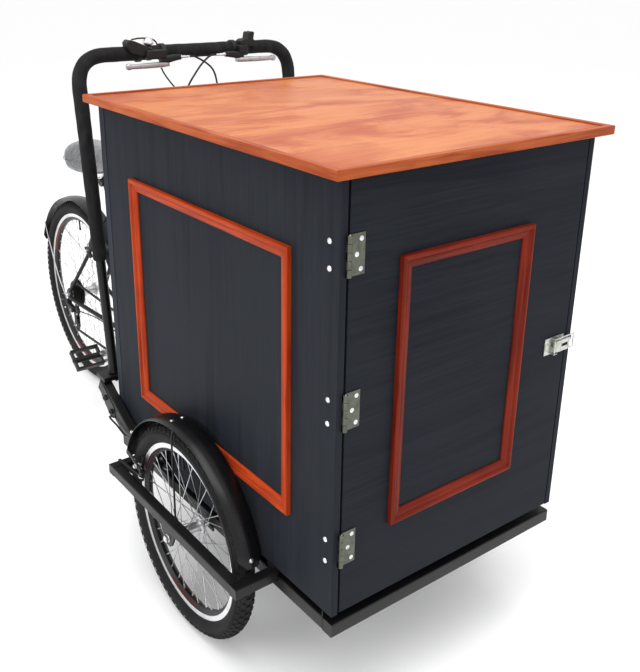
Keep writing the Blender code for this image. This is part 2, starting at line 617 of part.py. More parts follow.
def build_rear_frame():
    """Head tube on the steering pin, main tubes, stays, dropouts and brake bosses."""
    axle = Vector((0, REAR_Y, REAR_TYRE_R))
    seat_dir = Vector((0, cos(SEAT_ANGLE), sin(SEAT_ANGLE)))
    head = disc(0.0235, HEAD_LOW, HEAD_TOP, (0, PIN_Y, 0), "Z", 16)
    solids = [head]
    solids.append(rod([(0, PIN_Y + 0.004, HEAD_LOW + 0.026), (0, 0.75, 0.300), (0, BB_Y, BB_Z)], 0.022, 12))
    solids.append(rod([(0, PIN_Y + 0.004, HEAD_TOP - 0.022), on_seat_tube(0.545)], 0.016, 12))
    solids.append(rod([on_seat_tube(BB_Z), on_seat_tube(SEAT_TUBE_TOP)], 0.0165, 12))
    solids.append(disc(0.0215, -0.034, 0.034, (0, BB_Y, BB_Z), "X", 16))
    cluster = on_seat_tube(STAY_TOP)
    radial, tangent = rear_brake_directions()
    for side in (-1, 1):
        drop = Vector((side * (REAR_HUB_HALF + 0.003), axle.y, axle.z))
        chainstay = [(side * 0.022, BB_Y + 0.008, BB_Z + 0.002),
                     (side * 0.036, BB_Y + 0.14, BB_Z + 0.018),
                     (side * 0.068, axle.y - 0.06, axle.z - 0.012),
                     drop + Vector((side * 0.002, -0.014, -0.003))]
        solids.append(rod(chainstay, 0.0085, 8))
        middle = drop + (cluster - drop) * 0.55
        middle.x = side * 0.047
        seat_stay = [cluster + Vector((side * 0.010, 0.002, 0)),
                     cluster + Vector((side * 0.040, 0.020, -0.028)),
                     middle, drop + Vector((0, -0.008, 0.012))]
        solids.append(rod(seat_stay, 0.0075, 8))
        plate = [(-0.030, -0.012), (-0.008, -0.020), (0.014, -0.014),
                 (0.016, 0.008), (-0.004, 0.026), (-0.022, 0.022)]
        inner = REAR_HUB_HALF + GAP
        solids.append(prism([(side * inner, axle.y + a, axle.z + b) for a, b in plate], (side * 0.005, 0, 0)))
        x0, x1 = sorted((side * (inner + 0.0045), side * (inner + 0.012)))
        solids.append(disc(0.0085, x0, x1, axle, "X", 6))
        stud = axle + radial * (REAR_TRACK_R - BRAKE_DROP) + Vector((side * REAR_SPREAD, 0, 0))
        solids.append(rod([stud + tangent * 0.018, stud - tangent * STUD_LEN], STUD_R, 8))
    solids.append(disc(AXLE_R, -REAR_HUB_HALF - 0.015, REAR_HUB_HALF + 0.015, axle, "X", 10))
    cuts = [disc(PIN_R + 0.0005, HEAD_LOW - 0.01, HEAD_TOP + 0.01, (0, PIN_Y, 0), "Z", 16)]
    cuts.append(disc(0.0125, -0.05, 0.05, (0, BB_Y, BB_Z), "X", 16))
    cuts.append(rod([on_seat_tube(0.430), on_seat_tube(SEAT_TUBE_TOP) + seat_dir * 0.01], 0.0140, 12))
    weld("rear_frame", solids, STEEL, cuts, (0, PIN_Y, 0.372))


def rear_brake_directions():
    """As for the front brakes, along the seat stays; the studs point rearwards."""
    line = on_seat_tube(STAY_TOP) - Vector((0, REAR_Y, REAR_TYRE_R))
    return brake_directions(atan2(line.z, line.y))


def build_rear_brake():
    """Two arms behind the seat stays."""
    centre = (0, REAR_Y, REAR_TYRE_R)
    radial, tangent = rear_brake_directions()
    for side, hand in ((-1, "right"), (1, "left")):
        build_brake_arm("brake_arm_rear_" + hand, centre, radial, -tangent,
                        side, REAR_TRACK_R, REAR_SPREAD, 0.104)


def build_seat():
    """Seat post and saddle, which slide in the seat tube together."""
    top = on_seat_tube(0.790)
    shaft = rod([on_seat_tube(0.560), top], 0.0135, 12)
    clamp = slab((-0.020, top.y - 0.014, 0.776), (0.020, top.y + 0.028, 0.7945))
    weld("seatpost", [shaft, clamp], STEEL, (), tuple(on_seat_tube(SEAT_TUBE_TOP)))
    rings = []
    for along, half, low, high in ((-0.133, 0.014, 0.852, 0.882), (-0.110, 0.024, 0.836, 0.896),
                                   (-0.040, 0.036, 0.815, 0.902), (0.030, 0.066, 0.797, 0.903),
                                   (0.085, 0.090, 0.795, 0.908), (0.118, 0.084, 0.804, 0.907),
                                   (0.132, 0.056, 0.828, 0.893)):
        middle, tall = (low + high) / 2, (high - low) / 2
        ring = []
        for k in range(12):
            t = 2 * pi * k / 12
            ring.append(Vector((half * cos(t), SADDLE_Y + along, middle + tall * sin(t))))
        rings.append(ring)
    piece("saddle", skin(rings), SADDLE_SKIN, tuple(on_seat_tube(SEAT_TUBE_TOP)))


def arc_points(centre, radius, start, end, steps):
    """Points on an arc in the chain's plane, as (y, z)."""
    return [(centre[0] + radius * cos(start + (end - start) * k / steps),
             centre[1] + radius * sin(start + (end - start) * k / steps)) for k in range(steps + 1)]


GUIDE_PULLEY = (REAR_Y + 0.006, REAR_TYRE_R - 0.066)
TENSION_PULLEY = (REAR_Y + 0.004, REAR_TYRE_R - 0.128)
PULLEY_R = 0.016
CHAIN_X = -0.0450


def chain_path():
    """Middle of the chain: ring, cassette, and the S round the two pulleys."""
    bb, axle = (BB_Y, BB_Z), (REAR_Y, REAR_TYRE_R)
    half = 0.0042
    ring, sprocket, pulley = RING_R + half + 0.0008, SPROCKET_R + half + 0.0008, PULLEY_R + half + 0.0006
    rise = atan2(axle[1] - bb[1], axle[0] - bb[0])
    points = arc_points(axle, sprocket, radians(-71), rise + pi / 2 - 0.09, 8)
    points += arc_points(bb, ring, rise + pi / 2 - 0.09, 1.5 * pi - 0.02, 14)
    points += arc_points(TENSION_PULLEY, pulley, radians(-100), radians(42), 6)
    points += arc_points(GUIDE_PULLEY, pulley, radians(222), radians(109), 5)
    return points


def build_drivetrain():
    """Crankset, pedals, chain, cassette and derailleur."""
    path = chain_path()
    count = len(path)
    rings = []
    for i, (y, z) in enumerate(path):
        before, after = path[i - 1], path[(i + 1) % count]
        along = Vector((0, after[0] - before[0], after[1] - before[1])).normalized()
        out = Vector((0, along.z, -along.y)) * 0.0040
        middle = Vector((CHAIN_X, y, z))
        wide = Vector((0.0030, 0, 0))
        rings.append([middle + out + wide, middle + out - wide, middle - out - wide, middle - out + wide])
    piece("chain", skin(rings, closed=True), CHAIN_STEEL)

    bb = Vector((0, BB_Y, BB_Z))
    ring = turned([(0.058, RING_X - 0.0015), (RING_R, RING_X - 0.0015), (RING_R, RING_X + 0.0015),
                   (0.058, RING_X + 0.0015)], bb, "X", 32)
    solids = [disc(0.0118, -0.078, 0.078, bb, "X", 16), ring]
    solids.append(disc(0.024, RING_X - 0.006, RING_X + 0.002, bb, "X", 16))
    for k in range(5):
        t = CRANK_ANGLE + 2 * pi * k / 5
        tip = on_wheel(bb, 0.062, t, RING_X - 0.002)
        solids.append(bar(on_wheel(bb, 0.010, t, RING_X - 0.002), tip, 0.0045, 0.014, (0, -sin(t), cos(t))))
    for side, turn in ((-1, CRANK_ANGLE), (1, CRANK_ANGLE + pi)):
        root = on_wheel(bb, -0.010, turn, side * 0.072)
        end = on_wheel(bb, CRANK_LEN + 0.010, turn, side * 0.079)
        solids.append(bar(root, end, 0.013, 0.022, (0, -sin(turn), cos(turn))))
        pin = on_wheel(bb, CRANK_LEN, turn, 0)
        x0, x1 = sorted((side * 0.078, side * 0.178))
        solids.append(disc(0.0046, x0, x1, pin, "X", 10))
    weld("crankset", solids, ALLOY, (), tuple(bb))
    for side, turn, hand in ((-1, CRANK_ANGLE, "right"), (1, CRANK_ANGLE + pi, "left")):
        pin = on_wheel(bb, CRANK_LEN, turn, 0)
        low, high = (0.0875, pin.y - 0.038, pin.z - 0.012), (0.1860, pin.y + 0.038, pin.z + 0.012)
        solids = [sided_slab(side, low, high)]
        x0, x1 = sorted((side * 0.080, side * 0.1795))
        cuts = [disc(0.0050, x0, x1, pin, "X", 10)]
        for a in (-1, 1):
            y0, y1 = sorted((pin.y + a * 0.010, pin.y + a * 0.031))
            cuts.append(sided_slab(side, (0.0965, y0, pin.z - 0.02), (0.1770, y1, pin.z + 0.02)))
        for solid in solids + cuts:
            bmesh.ops.rotate(solid, cent=pin, matrix=Matrix.Rotation(PEDAL_TIP, 3, "X"), verts=solid.verts)
        weld("pedal_" + hand, solids, PLASTIC, cuts, tuple(pin))

    axle = Vector((0, REAR_Y, REAR_TYRE_R))
    steps = [(0.0168, -0.0295), (0.050, -0.0295), (0.050, -0.0325), (0.044, -0.034), (0.044, -0.038),
             (SPROCKET_R, -0.0405), (SPROCKET_R, -0.0490), (0.030, -0.0505),
             (0.024, -0.0600), (0.0168, -0.0600)]
    piece("cassette", turned(steps, axle, "X", 20), CHAIN_STEEL, tuple(axle))

    solids = [disc(PULLEY_R, CHAIN_X - 0.0012, CHAIN_X + 0.0012, (0, *GUIDE_PULLEY), "X", 14),
              disc(PULLEY_R, CHAIN_X - 0.0012, CHAIN_X + 0.0012, (0, *TENSION_PULLEY), "X", 14)]
    for pulley in (GUIDE_PULLEY, TENSION_PULLEY):
        solids.append(disc(0.005, CHAIN_X - 0.008, CHAIN_X + 0.001, (0, *pulley), "X", 10))
    cage = [(CHAIN_X - 0.0065, GUIDE_PULLEY[0], GUIDE_PULLEY[1] + 0.010),
            (CHAIN_X - 0.0065, TENSION_PULLEY[0], TENSION_PULLEY[1] - 0.010)]
    solids.append(bar(cage[0], cage[1], 0.022, 0.002, (-1, 0, 0)))
    body = [(-0.060, GUIDE_PULLEY[0], GUIDE_PULLEY[1] + 0.004), (-0.070, REAR_Y + 0.022, REAR_TYRE_R - 0.034)]
    solids.append(bar(body[0], body[1], 0.022, 0.018, (-1, 0, 0)))
    solids.append(bar((-0.0505, *GUIDE_PULLEY), (-0.062, *GUIDE_PULLEY), 0.016, 0.016))
    weld("derailleur", solids, PLASTIC)


def build_rear_wheel():
    """The rear wheel and its mudguard."""
    centre = (0, REAR_Y, REAR_TYRE_R)
    end = REAR_HUB_HALF - 0.0012
    bore = AXLE_R + 0.0004
    hub = [(bore, -end), (0.0085, -end), (0.0085, -0.062), (0.0162, -0.0615), (0.0162, -0.0245),
           (0.026, -0.0225), (0.026, -0.0195), (0.016, -0.0175), (0.014, 0.025), (0.022, 0.0275),
           (0.022, 0.0305), (0.014, 0.033), (0.0085, 0.036), (0.0085, end), (bore, end)]
    build_wheel("rear", centre, REAR_TYRE_R, REAR_TRACK_R, REAR_HUB_HALF, 36, 0.024, hub)
    guard = fender(centre, 0.3425, 0.0290, radians(20.0), radians(140.0), 18, crown=0.0045)
    lamp_at = on_wheel(centre, 0.354, radians(30.0))
    lamp = bar(lamp_at + Vector((0, -0.004, 0.002)), lamp_at + Vector((0, 0.011, -0.004)), 0.044, 0.030)
    solids = [guard, lamp]
    for side in (-1, 1):
        low = Vector((side * 0.0835, REAR_Y + 0.006, REAR_TYRE_R + 0.004))
        knee = on_wheel(centre, 0.3432, radians(33.0), side * 0.0285)
        solids.append(rod([low, Vector((side * 0.070, REAR_Y + 0.10, REAR_TYRE_R + 0.068)), knee], 0.0018, 6))
    weld("rear_mudguard", solids, STEEL)


# Cables ------------------------------------------------------------------------

def smooth(points, spare):
    """Points on a Catmull-Rom curve through a route, spare extra ones in each span."""
    ends = [points[0] * 2 - points[1], *points, points[-1] * 2 - points[-2]]
    result = []
    for i in range(1, len(ends) - 2):
        a, b, c, d = ends[i - 1:i + 3]
        for k in range(spare + 1):
            t = k / (spare + 1)
            result.append(0.5 * (2 * b + (c - a) * t + (2 * a - 5 * b + 4 * c - d) * t * t
                                 + (3 * b - a - 3 * c + d) * t ** 3))
    return result + [points[-1]]


def cable(name, route, radius):
    """A cable housing along its route."""
    points = smooth([Vector(p) for p in route], 1)
    curve = bpy.data.curves.new(name, "CURVE")
    curve.dimensions = "3D"
    curve.bevel_depth = radius
    curve.bevel_resolution = 2
    curve.use_fill_caps = True
    line = curve.splines.new("POLY")
    line.points.add(len(points) - 1)
    for spot, point in zip(line.points, points):
        spot.co = (*point, 1)
    curve.materials.append(RUBBER)
    obj = bpy.data.objects.new(name, curve)
    bpy.context.scene.collection.objects.link(obj)
    obj.parent = origin
    return obj


CABLE_R = 0.0025


def build_cables():
    """Front brake cables, and the gear cable in two lengths that meet at the steering pin."""
    barrel_y = BAR_TOP_Y - SLEEVE_R - 0.011
    back = BOX_D / 2 + 0.012
    for hand, (side, _, pivot_x) in CONTROLS.items():
        start = side * (pivot_x - 0.0632)
        behind = 0.010 if side < 0 else 0.0      # the right cable crosses behind the left one
        route = [(start, barrel_y, 1.241), (start - side * 0.030, barrel_y + behind / 2, 1.238),
                 (start - side * 0.075, barrel_y - 0.012 + behind, 1.205),
                 (-side * 0.052, 0.520 + behind, 1.150), (-side * 0.050, 0.495 + behind, 1.080),
                 (-side * 0.030, back + 0.010 + behind, 0.960), (side * 0.035, back + behind, 0.760),
                 (side * 0.055, back, 0.560), (side * 0.060, back, 0.380),
                 (side * 0.090, back, 0.318), (side * 0.180, back, 0.300),
                 (side * 0.290, back + 0.004, 0.303), (side * 0.330, 0.470, 0.328),
                 (side * 0.3565, 0.446, 0.349), (side * 0.3575, 0.400, 0.345),
                 (side * 0.358, 0.350, 0.338), (side * 0.3585, 0.322, 0.355), (side * 0.362, 0.304, 0.374)]
        cable("brake_cable_" + hand, route, CABLE_R)
    side, pod_x, _ = CONTROLS["right"]
    inner = side * (pod_x - 0.0265)
    bar_y = BAR_TOP_Y
    cable("gear_cable", [(inner, bar_y - 0.002, 1.285), (inner + 0.040, bar_y, 1.289),
                         (inner + 0.080, bar_y + 0.010, 1.282), (inner + 0.100, bar_y + 0.026, 1.258),
                         (inner + 0.108, bar_y + 0.020, 1.200), (-0.010, 0.572, 1.100),
                         (0.0, 0.545, 0.980), (0.0, 0.530, 0.800), (0.0, 0.522, 0.650),
                         (0.0, PIN_Y - 0.004, 0.540), (0.0, PIN_Y, 0.500), (0.0, PIN_Y, 0.475)],
          CABLE_R * 0.8)
    under = BB_Z - 0.031
    beside = -0.0275
    cable("rear_gear_cable", [(beside, PIN_Y + 0.006, 0.400), (beside - 0.002, PIN_Y + 0.026, 0.365),
                              (beside - 0.001, PIN_Y + 0.080, 0.330), (beside, 0.720, 0.304),
                              (beside, 0.850, 0.284), (-0.022, 0.925, under + 0.003),
                              (-0.020, BB_Y + 0.010, under), (-0.022, 1.030, under + 0.006),
                              (-0.030, 1.100, 0.276), (-0.046, 1.220, 0.292), (-0.082, 1.330, 0.300),
                              (-0.089, 1.400, 0.314), (-0.087, 1.440, 0.300), (-0.079, 1.446, 0.280),
                              (-0.075, 1.434, 0.270)],
          CABLE_R * 0.8)


build_box()
build_door()
build_latch()
build_base()
for SIDE, HAND in ((-1, "right"), (1, "left")):
    build_side_frame(SIDE, HAND)
    build_front_corner(SIDE, HAND)
build_handlebar()
build_controls()
build_rear_frame()
build_rear_wheel()
build_rear_brake()
build_seat()
build_drivetrain()
build_cables()
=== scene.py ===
"""The looks of a cargo tricycle: a tall black box with an orange lid, side-hung
door, push bar, two spoked wheels in front and the rear half of a bicycle.

Metres, in the frame's own axes: -Y is the door side, -X the rider's right.
Places come from the frame's nodes and joints; P() measures from the box's middle.
"""
import json
from math import atan2, cos, pi, radians, sin, sqrt, tan

import bmesh
import bpy
from mathutils import Matrix, Vector


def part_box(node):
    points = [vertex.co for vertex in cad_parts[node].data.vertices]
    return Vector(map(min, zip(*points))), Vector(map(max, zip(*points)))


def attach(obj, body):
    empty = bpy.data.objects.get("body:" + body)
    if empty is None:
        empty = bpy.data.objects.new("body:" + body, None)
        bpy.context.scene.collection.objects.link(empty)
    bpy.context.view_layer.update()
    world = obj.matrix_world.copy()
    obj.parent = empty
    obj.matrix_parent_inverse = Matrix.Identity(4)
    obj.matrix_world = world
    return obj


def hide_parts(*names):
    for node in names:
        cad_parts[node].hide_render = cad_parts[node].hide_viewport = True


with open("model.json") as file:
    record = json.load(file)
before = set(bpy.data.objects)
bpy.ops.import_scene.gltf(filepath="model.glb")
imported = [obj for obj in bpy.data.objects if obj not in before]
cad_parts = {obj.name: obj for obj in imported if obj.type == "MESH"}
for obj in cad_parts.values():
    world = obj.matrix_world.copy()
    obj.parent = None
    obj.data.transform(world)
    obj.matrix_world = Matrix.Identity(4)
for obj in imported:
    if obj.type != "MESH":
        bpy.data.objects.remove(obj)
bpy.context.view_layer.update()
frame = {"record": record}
AT = {j["name"]: Vector(j["pos_m"]) for j in frame["record"]["behaviour"]["joints"] if j["type"] == "hinge"}


def ends_of(node):
    """Lowest and highest corner of a node of the frame."""
    low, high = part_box(node)
    return Vector(low), Vector(high)


SIDE_LOW, SIDE_HIGH = ends_of("side_panel_left")
MID_Y = (SIDE_LOW.y + SIDE_HIGH.y) / 2
BOX_X = SIDE_HIGH.x                     # outer face of the left side board
BOX_FRONT, BOX_BACK = SIDE_LOW.y, SIDE_HIGH.y
WALL_LOW, WALL_TOP = SIDE_LOW.z, SIDE_HIGH.z
HANDS = {"right": -1, "left": 1}


def P(x, y, z):
    """A point measured from the middle of the box, at ground level."""
    return Vector((x, y + MID_Y, z))


def V(x, y, z):
    """A point or a direction in the frame's axes."""
    return Vector((x, y, z))


def outward(angle):
    """Away from an axle, at an angle from straight back."""
    return Vector((0, cos(angle), sin(angle)))


def turning(angle):
    """Along the rim of a wheel, at an angle from straight back."""
    return Vector((0, -sin(angle), cos(angle)))


def turns(count):
    """This many even angles round a circle."""
    return [2 * pi * k / count for k in range(count)]


def facing(direction):
    """A turn that points the Z axis along a direction."""
    return Vector(direction).to_track_quat("Z", "Y").to_matrix().to_4x4()


def mm(*rows):
    """Rows of millimetres, in metres."""
    return [tuple(value / 1000 for value in row) for row in rows]


# Wires: sums written straight into a node tree

def plug(tree, socket, value):
    """Link a wire to a socket, or set the socket's own value."""
    if isinstance(value, Wire):
        tree.links.new(value.socket, socket)
    elif hasattr(socket.default_value, "__len__") and len(socket.default_value) == 4:
        socket.default_value = (*value, 1) if len(value) == 3 else value
    else:
        socket.default_value = value


def add_node(tree, kind, inputs, output, **settings):
    """Any node, with its inputs plugged, as a wire from one of its outputs."""
    node = tree.nodes.new(kind)
    for key, value in settings.items():
        setattr(node, key, value)
    for key, value in inputs.items():
        plug(tree, node.inputs[key], value)
    return Wire(tree, node.outputs[output])


class Wire:
    """An output socket that can be added and multiplied."""

    def __init__(self, tree, socket):
        self.tree, self.socket = tree, socket

    def sum(self, operation, *terms):
        return add_node(self.tree, "ShaderNodeMath", dict(enumerate(terms)), 0, operation=operation)

    def __add__(self, other):
        return self.sum("ADD", self, other)

    def __mul__(self, other):
        return self.sum("MULTIPLY", self, other)

    __radd__, __rmul__ = __add__, __mul__

    def ramp(self, low, high, start=0.0, end=1.0):
        """Follow this value from low to high smoothly, and hold at both ends."""
        return add_node(self.tree, "ShaderNodeMapRange", {"Value": self, "From Min": low, "From Max": high,
            "To Min": start, "To Max": end}, 0, interpolation_type="SMOOTHSTEP")


def shade(red, green, blue, share=1.0):
    """A screen colour, 0 to 255, as light, dimmed to a share of it."""
    return tuple(share * ((c / 255 / 12.92) if c < 11 else ((c / 255 + 0.055) / 1.055) ** 2.4)
        for c in (red, green, blue))


def grey(level, cool=2):
    """A grey, a little towards blue."""
    return shade(level, level, level + cool)


class Finish:
    """A material with one Principled shader, and the record's slot it belongs to."""

    def __init__(self, name, slot, colour, roughness, metallic=0.0, **fixed):
        self.slot = slot
        self.material = bpy.data.materials.new(name)
        self.material.use_nodes = True
        self.tree = self.material.node_tree
        self.shader = self.tree.nodes["Principled BSDF"]
        self.set("Base Color", colour)
        self.set("Roughness", roughness)
        self.set("Metallic", metallic)
        for key, value in fixed.items():
            self.set(key.replace("_", " "), value)
        self.place = self.node("ShaderNodeTexCoord", {}, "Object")
        self.along = self.node("ShaderNodeTexCoord", {}, "UV")

    def set(self, socket, value):
        plug(self.tree, self.shader.inputs[socket], value)

    def node(self, kind, inputs, output=0, **settings):
        return add_node(self.tree, kind, inputs, output, **settings)

    def stretched(self, scale, where=None, shift=(0, 0, 0)):
        """Coordinates scaled by one number, or by one for each way."""
        each = scale if isinstance(scale, tuple) else (scale, scale, scale)
        return self.node("ShaderNodeMapping", {"Vector": where or self.place, "Scale": each,
            "Location": shift})

    def noise(self, scale, where=None, detail=3.0, rough=0.5, twist=0.0, shift=(0, 0, 0)):
        """Cloudy noise."""
        return self.node("ShaderNodeTexNoise", {"Vector": self.stretched(scale, where, shift), "Scale": 1.0,
            "Detail": detail, "Roughness": rough, "Distortion": twist}, "Fac")

    def cells(self, scale, feature="F1"):
        """Distance within Voronoi cells."""
        return self.node("ShaderNodeTexVoronoi", {"Vector": self.stretched(scale), "Scale": 1.0},
            "Distance", feature=feature)

    def blend(self, share, first, second):
        """A colour between two colours."""
        node = self.tree.nodes.new("ShaderNodeMix")
        node.data_type = "RGBA"
        for socket, value in zip((node.inputs[0], node.inputs[6], node.inputs[7]), (share, first, second)):
            plug(self.tree, socket, value)
        return Wire(self.tree, node.outputs[2])

    def worn(self, colour, roughness, height, depth):
        """Set what varies over the surface; its relief is height times depth, in metres."""
        self.set("Base Color", colour)
        self.set("Roughness", roughness)
        self.set("Normal", self.node("ShaderNodeBump", {"Height": height, "Distance": depth}))
        return self


# Finishes

def black_ply(name, grain, streaks, light=1.0):
    """Black-stained plywood: fine grain one way, long dark streaks, satin."""
    f = Finish(name, "black_wood", (0, 0, 0), 0.5, Specular_IOR_Level=0.04)
    fine = f.noise(grain, detail=4, rough=0.65)
    broad = f.noise(streaks, detail=3, rough=0.55, twist=0.9)
    cloud = f.noise(2.3, detail=2, shift=(3, 1, 7))
    tone = f.blend(fine.ramp(0.3, 0.75), shade(25, 28, 34, light), shade(33, 36, 42, light))
    tone = f.blend(broad.ramp(0.5, 0.7, 0, 0.5), tone, shade(18, 20, 25, light))
    return f.worn(f.blend(cloud.ramp(0.35, 0.7, 0, 0.3), tone, shade(42, 45, 50, light)),
        0.36 + 0.2 * fine + 0.12 * cloud, fine + broad * 0.6, 0.00022)


def stained_pine(name, light, dark, slot="trim_wood"):
    """Stained softwood strip with its grain running along the strip (UV in metres)."""
    f = Finish(name, slot, (0, 0, 0), 0.4, Specular_IOR_Level=0.08)
    fine = f.noise((9, 420, 1), f.along, detail=4, rough=0.6)
    broad = f.noise((5, 70, 1), f.along, detail=3, twist=0.8)
    patch = f.noise(7.0, detail=2)
    tone = f.blend(broad.ramp(0.35, 0.65), light, dark)
    tone = f.blend(fine.ramp(0.5, 0.8, 0, 0.4), tone, [c * 0.45 for c in dark])
    return f.worn(f.blend(patch.ramp(0.4, 0.7, 0, 0.4), tone, [min(c * 1.25, 1) for c in light]),
        0.3 + 0.22 * fine, fine + broad * 0.4, 0.00018)


def orange_ply():
    """Orange-stained plywood with drifting blotches, streaked across the lid."""
    f = Finish("orange_lid_ply", "lid_wood", (0, 0, 0), 0.35, Specular_IOR_Level=0.15, Coat_Weight=0.03,
        Coat_Roughness=0.2)
    blotch = f.noise((4.6, 8.5, 1), detail=6, rough=0.62, twist=0.5)
    cloud = f.noise((2.0, 3.2, 1), detail=3, shift=(5, 2, 0))
    streak = f.noise((7, 95, 1), detail=4, rough=0.6, twist=0.3)
    fine = f.noise((30, 520, 1), detail=3, rough=0.6)
    tone = f.blend(blotch.ramp(0.4, 0.62), shade(178, 104, 54), shade(154, 70, 32))
    tone = f.blend(cloud.ramp(0.48, 0.72, 0, 0.55), tone, shade(182, 114, 66))
    tone = f.blend(streak.ramp(0.54, 0.76, 0, 0.3), tone, shade(140, 54, 24))
    tone = f.blend(fine.ramp(0.55, 0.8, 0, 0.25), tone, shade(116, 46, 24))
    speck = f.cells((14, 14, 1)).ramp(0.012, 0.03, 0.8, 0)
    return f.worn(f.blend(speck, tone, shade(84, 44, 34)), 0.26 + 0.22 * streak + 0.1 * blotch,
        fine + streak * 0.5, 0.00012)


def black_paint(name="black_powder_coat", slot="black_steel", level=8, roughness=0.36):
    """Powder-coated steel: slight orange peel, dust in the hollows, small scuffs."""
    f = Finish(name, slot, (0, 0, 0), roughness, Specular_IOR_Level=0.25, Coat_Weight=0.06,
        Coat_Roughness=0.2)
    dust = f.noise(16.0, detail=4, rough=0.65)
    scuff = f.noise((160, 160, 40), detail=2, rough=0.7, twist=1.5)
    tone = f.blend(dust.ramp(0.45, 0.8, 0, 0.4), grey(level), grey(level + 13, 0))
    return f.worn(f.blend(scuff.ramp(0.7, 0.78, 0, 0.4), tone, shade(62, 61, 60)),
        roughness - 0.05 + 0.25 * dust, f.noise(420.0, detail=2), 0.0001)


def metal(name, slot, light, dark, roughness, brush=(30, 30, 900), tarnish=0.5):
    """Bare or plated metal with brushing one way and patchy tarnish."""
    f = Finish(name, slot, (0, 0, 0), roughness, 1.0)
    lines = f.noise(brush, detail=2, rough=0.6)
    patch = f.noise(60.0, detail=4, rough=0.65)
    tone = f.blend(patch.ramp(0.4, 0.7, 0, tarnish), light, dark)
    return f.worn(f.blend(lines.ramp(0.45, 0.8, 0, 0.3), tone, [c * 0.6 for c in light]),
        roughness - 0.08 + 0.22 * patch + 0.1 * lines, lines, 0.00006)


def turned_metal(name, slot, light):
    """Metal with fine grooves left by turning, across the piece's UV."""
    f = Finish(name, slot, light, 0.3, 1.0)
    across = f.node("ShaderNodeSeparateXYZ", {"Vector": f.along}, "Y")
    groove = f.node("ShaderNodeTexNoise", {"Vector": f.stretched((2, 5200, 1), f.along), "Scale": 1.0,
        "Detail": 2.0}, "Fac")
    patch = f.noise(30.0, detail=4, rough=0.6)
    wave = across.sum("SINE", across * 900) * 0.5 + 0.5
    return f.worn(f.blend(patch.ramp(0.42, 0.72, 0, 0.4), light, [c * 0.55 for c in light]),
        0.24 + 0.25 * groove + 0.04 * wave, groove, 0.00005)


def rubber(name, slot, level, dusty, grain=700.0, roughness=0.8):
    """Rubber with a dusty bloom and a fine moulded grain."""
    f = Finish(name, slot, (0, 0, 0), roughness, Specular_IOR_Level=0.2)
    dust = f.noise(11.0, detail=5, rough=0.7)
    fine = f.noise(grain, detail=2)
    tone = f.blend(dust.ramp(0.42, 0.75, 0, dusty), grey(level, 1), shade(58, 56, 53))
    return f.worn(f.blend(fine.ramp(0.4, 0.8, 0, 0.3), tone, grey(level + 18, 0)),
        roughness - 0.08 + 0.16 * dust, fine, 0.00025)


def moulded(name, slot, level, roughness=0.5, spark=1400.0):
    """Moulded plastic with a spark-eroded texture."""
    f = Finish(name, slot, (0, 0, 0), roughness, Specular_IOR_Level=0.3)
    pits = f.cells(spark)
    dust = f.noise(22.0, detail=4, rough=0.6)
    return f.worn(f.blend(dust.ramp(0.45, 0.75, 0, 0.4), grey(level), grey(level + 16, 0)),
        roughness - 0.06 + 0.2 * dust, pits, 0.00012)


def grained_vinyl():
    """Grey imitation leather under a clear wrap: cell grain and long film creases; the lighter tone along
    the creases is painted sheen of the wrap.
    """
    f = Finish("grey_saddle_vinyl", "saddle_cover", (0, 0, 0), 0.45, Coat_Weight=0.8, Coat_Roughness=0.09)
    grain = f.cells(620.0, feature="DISTANCE_TO_EDGE")
    crease_and_sheen = f.noise((26, 60, 40), detail=4, rough=0.6, twist=2.2)
    # The lighter tone along the creases is painted sheen of the clear wrap; the creases also set the relief
    # and roughness.
    tone = f.blend(crease_and_sheen.ramp(0.4, 0.66, 0, 0.6), shade(72, 73, 75), shade(118, 119, 122))
    return f.worn(f.blend(grain.ramp(0.0, 0.12, 0.35, 0), tone, grey(34)), 0.34 + 0.25 * crease_and_sheen,
        crease_and_sheen * 1.0 + grain * 0.15, 0.0006)


def sleeve_foam():
    """Closed-cell foam: open pores and a soft, matt black."""
    f = Finish("sleeve_foam", "foam", (0, 0, 0), 0.92, Specular_IOR_Level=0.25)
    pores = f.cells(900.0)
    dent = f.noise((70, 70, 30), detail=3)
    return f.worn(f.blend(dent.ramp(0.4, 0.75, 0, 0.5), grey(15), grey(40)), 0.82 + 0.15 * dent,
        pores + dent * 2.0, 0.0004)


def plain_red(name, slot, colour):
    """Flat red printing, a little scratched."""
    f = Finish(name, slot, colour, 0.4)
    wear = f.noise(300.0, detail=3, rough=0.7)
    return f.worn(f.blend(wear.ramp(0.56, 0.72, 0, 0.8), colour, shade(30, 22, 22)), 0.32 + 0.3 * wear,
        wear, 0.00004)


def reflector_red():
    """Red prismatic reflector."""
    f = Finish("reflector_lens", "black_plastic", shade(120, 12, 10), 0.15, Coat_Weight=1.0)
    prism = f.cells(420.0)
    return f.worn(f.blend(prism.ramp(0.1, 0.6), shade(170, 24, 18), shade(70, 6, 6)), 0.12 + 0.2 * prism,
        prism, 0.0005)


BLACK_SIDE = black_ply("black_side_ply", (150, 150, 5), (26, 26, 1.5))
# The door board has grain of its own, with its tones dimmed to 0.92 as painted shade on the door face.
BLACK_DOOR = black_ply("black_door_ply", (6, 60, 190), (1.6, 9, 34), 0.92)
BLACK_EDGE = black_ply("black_floor_ply", (160, 6, 60), (30, 2, 10))
LID_PLY = orange_ply()
LID_TRIM = stained_pine("lid_edging_pine", shade(158, 80, 42), shade(130, 54, 26))
SIDE_TRIM = stained_pine("side_moulding_pine", shade(158, 56, 18), shade(128, 36, 10))
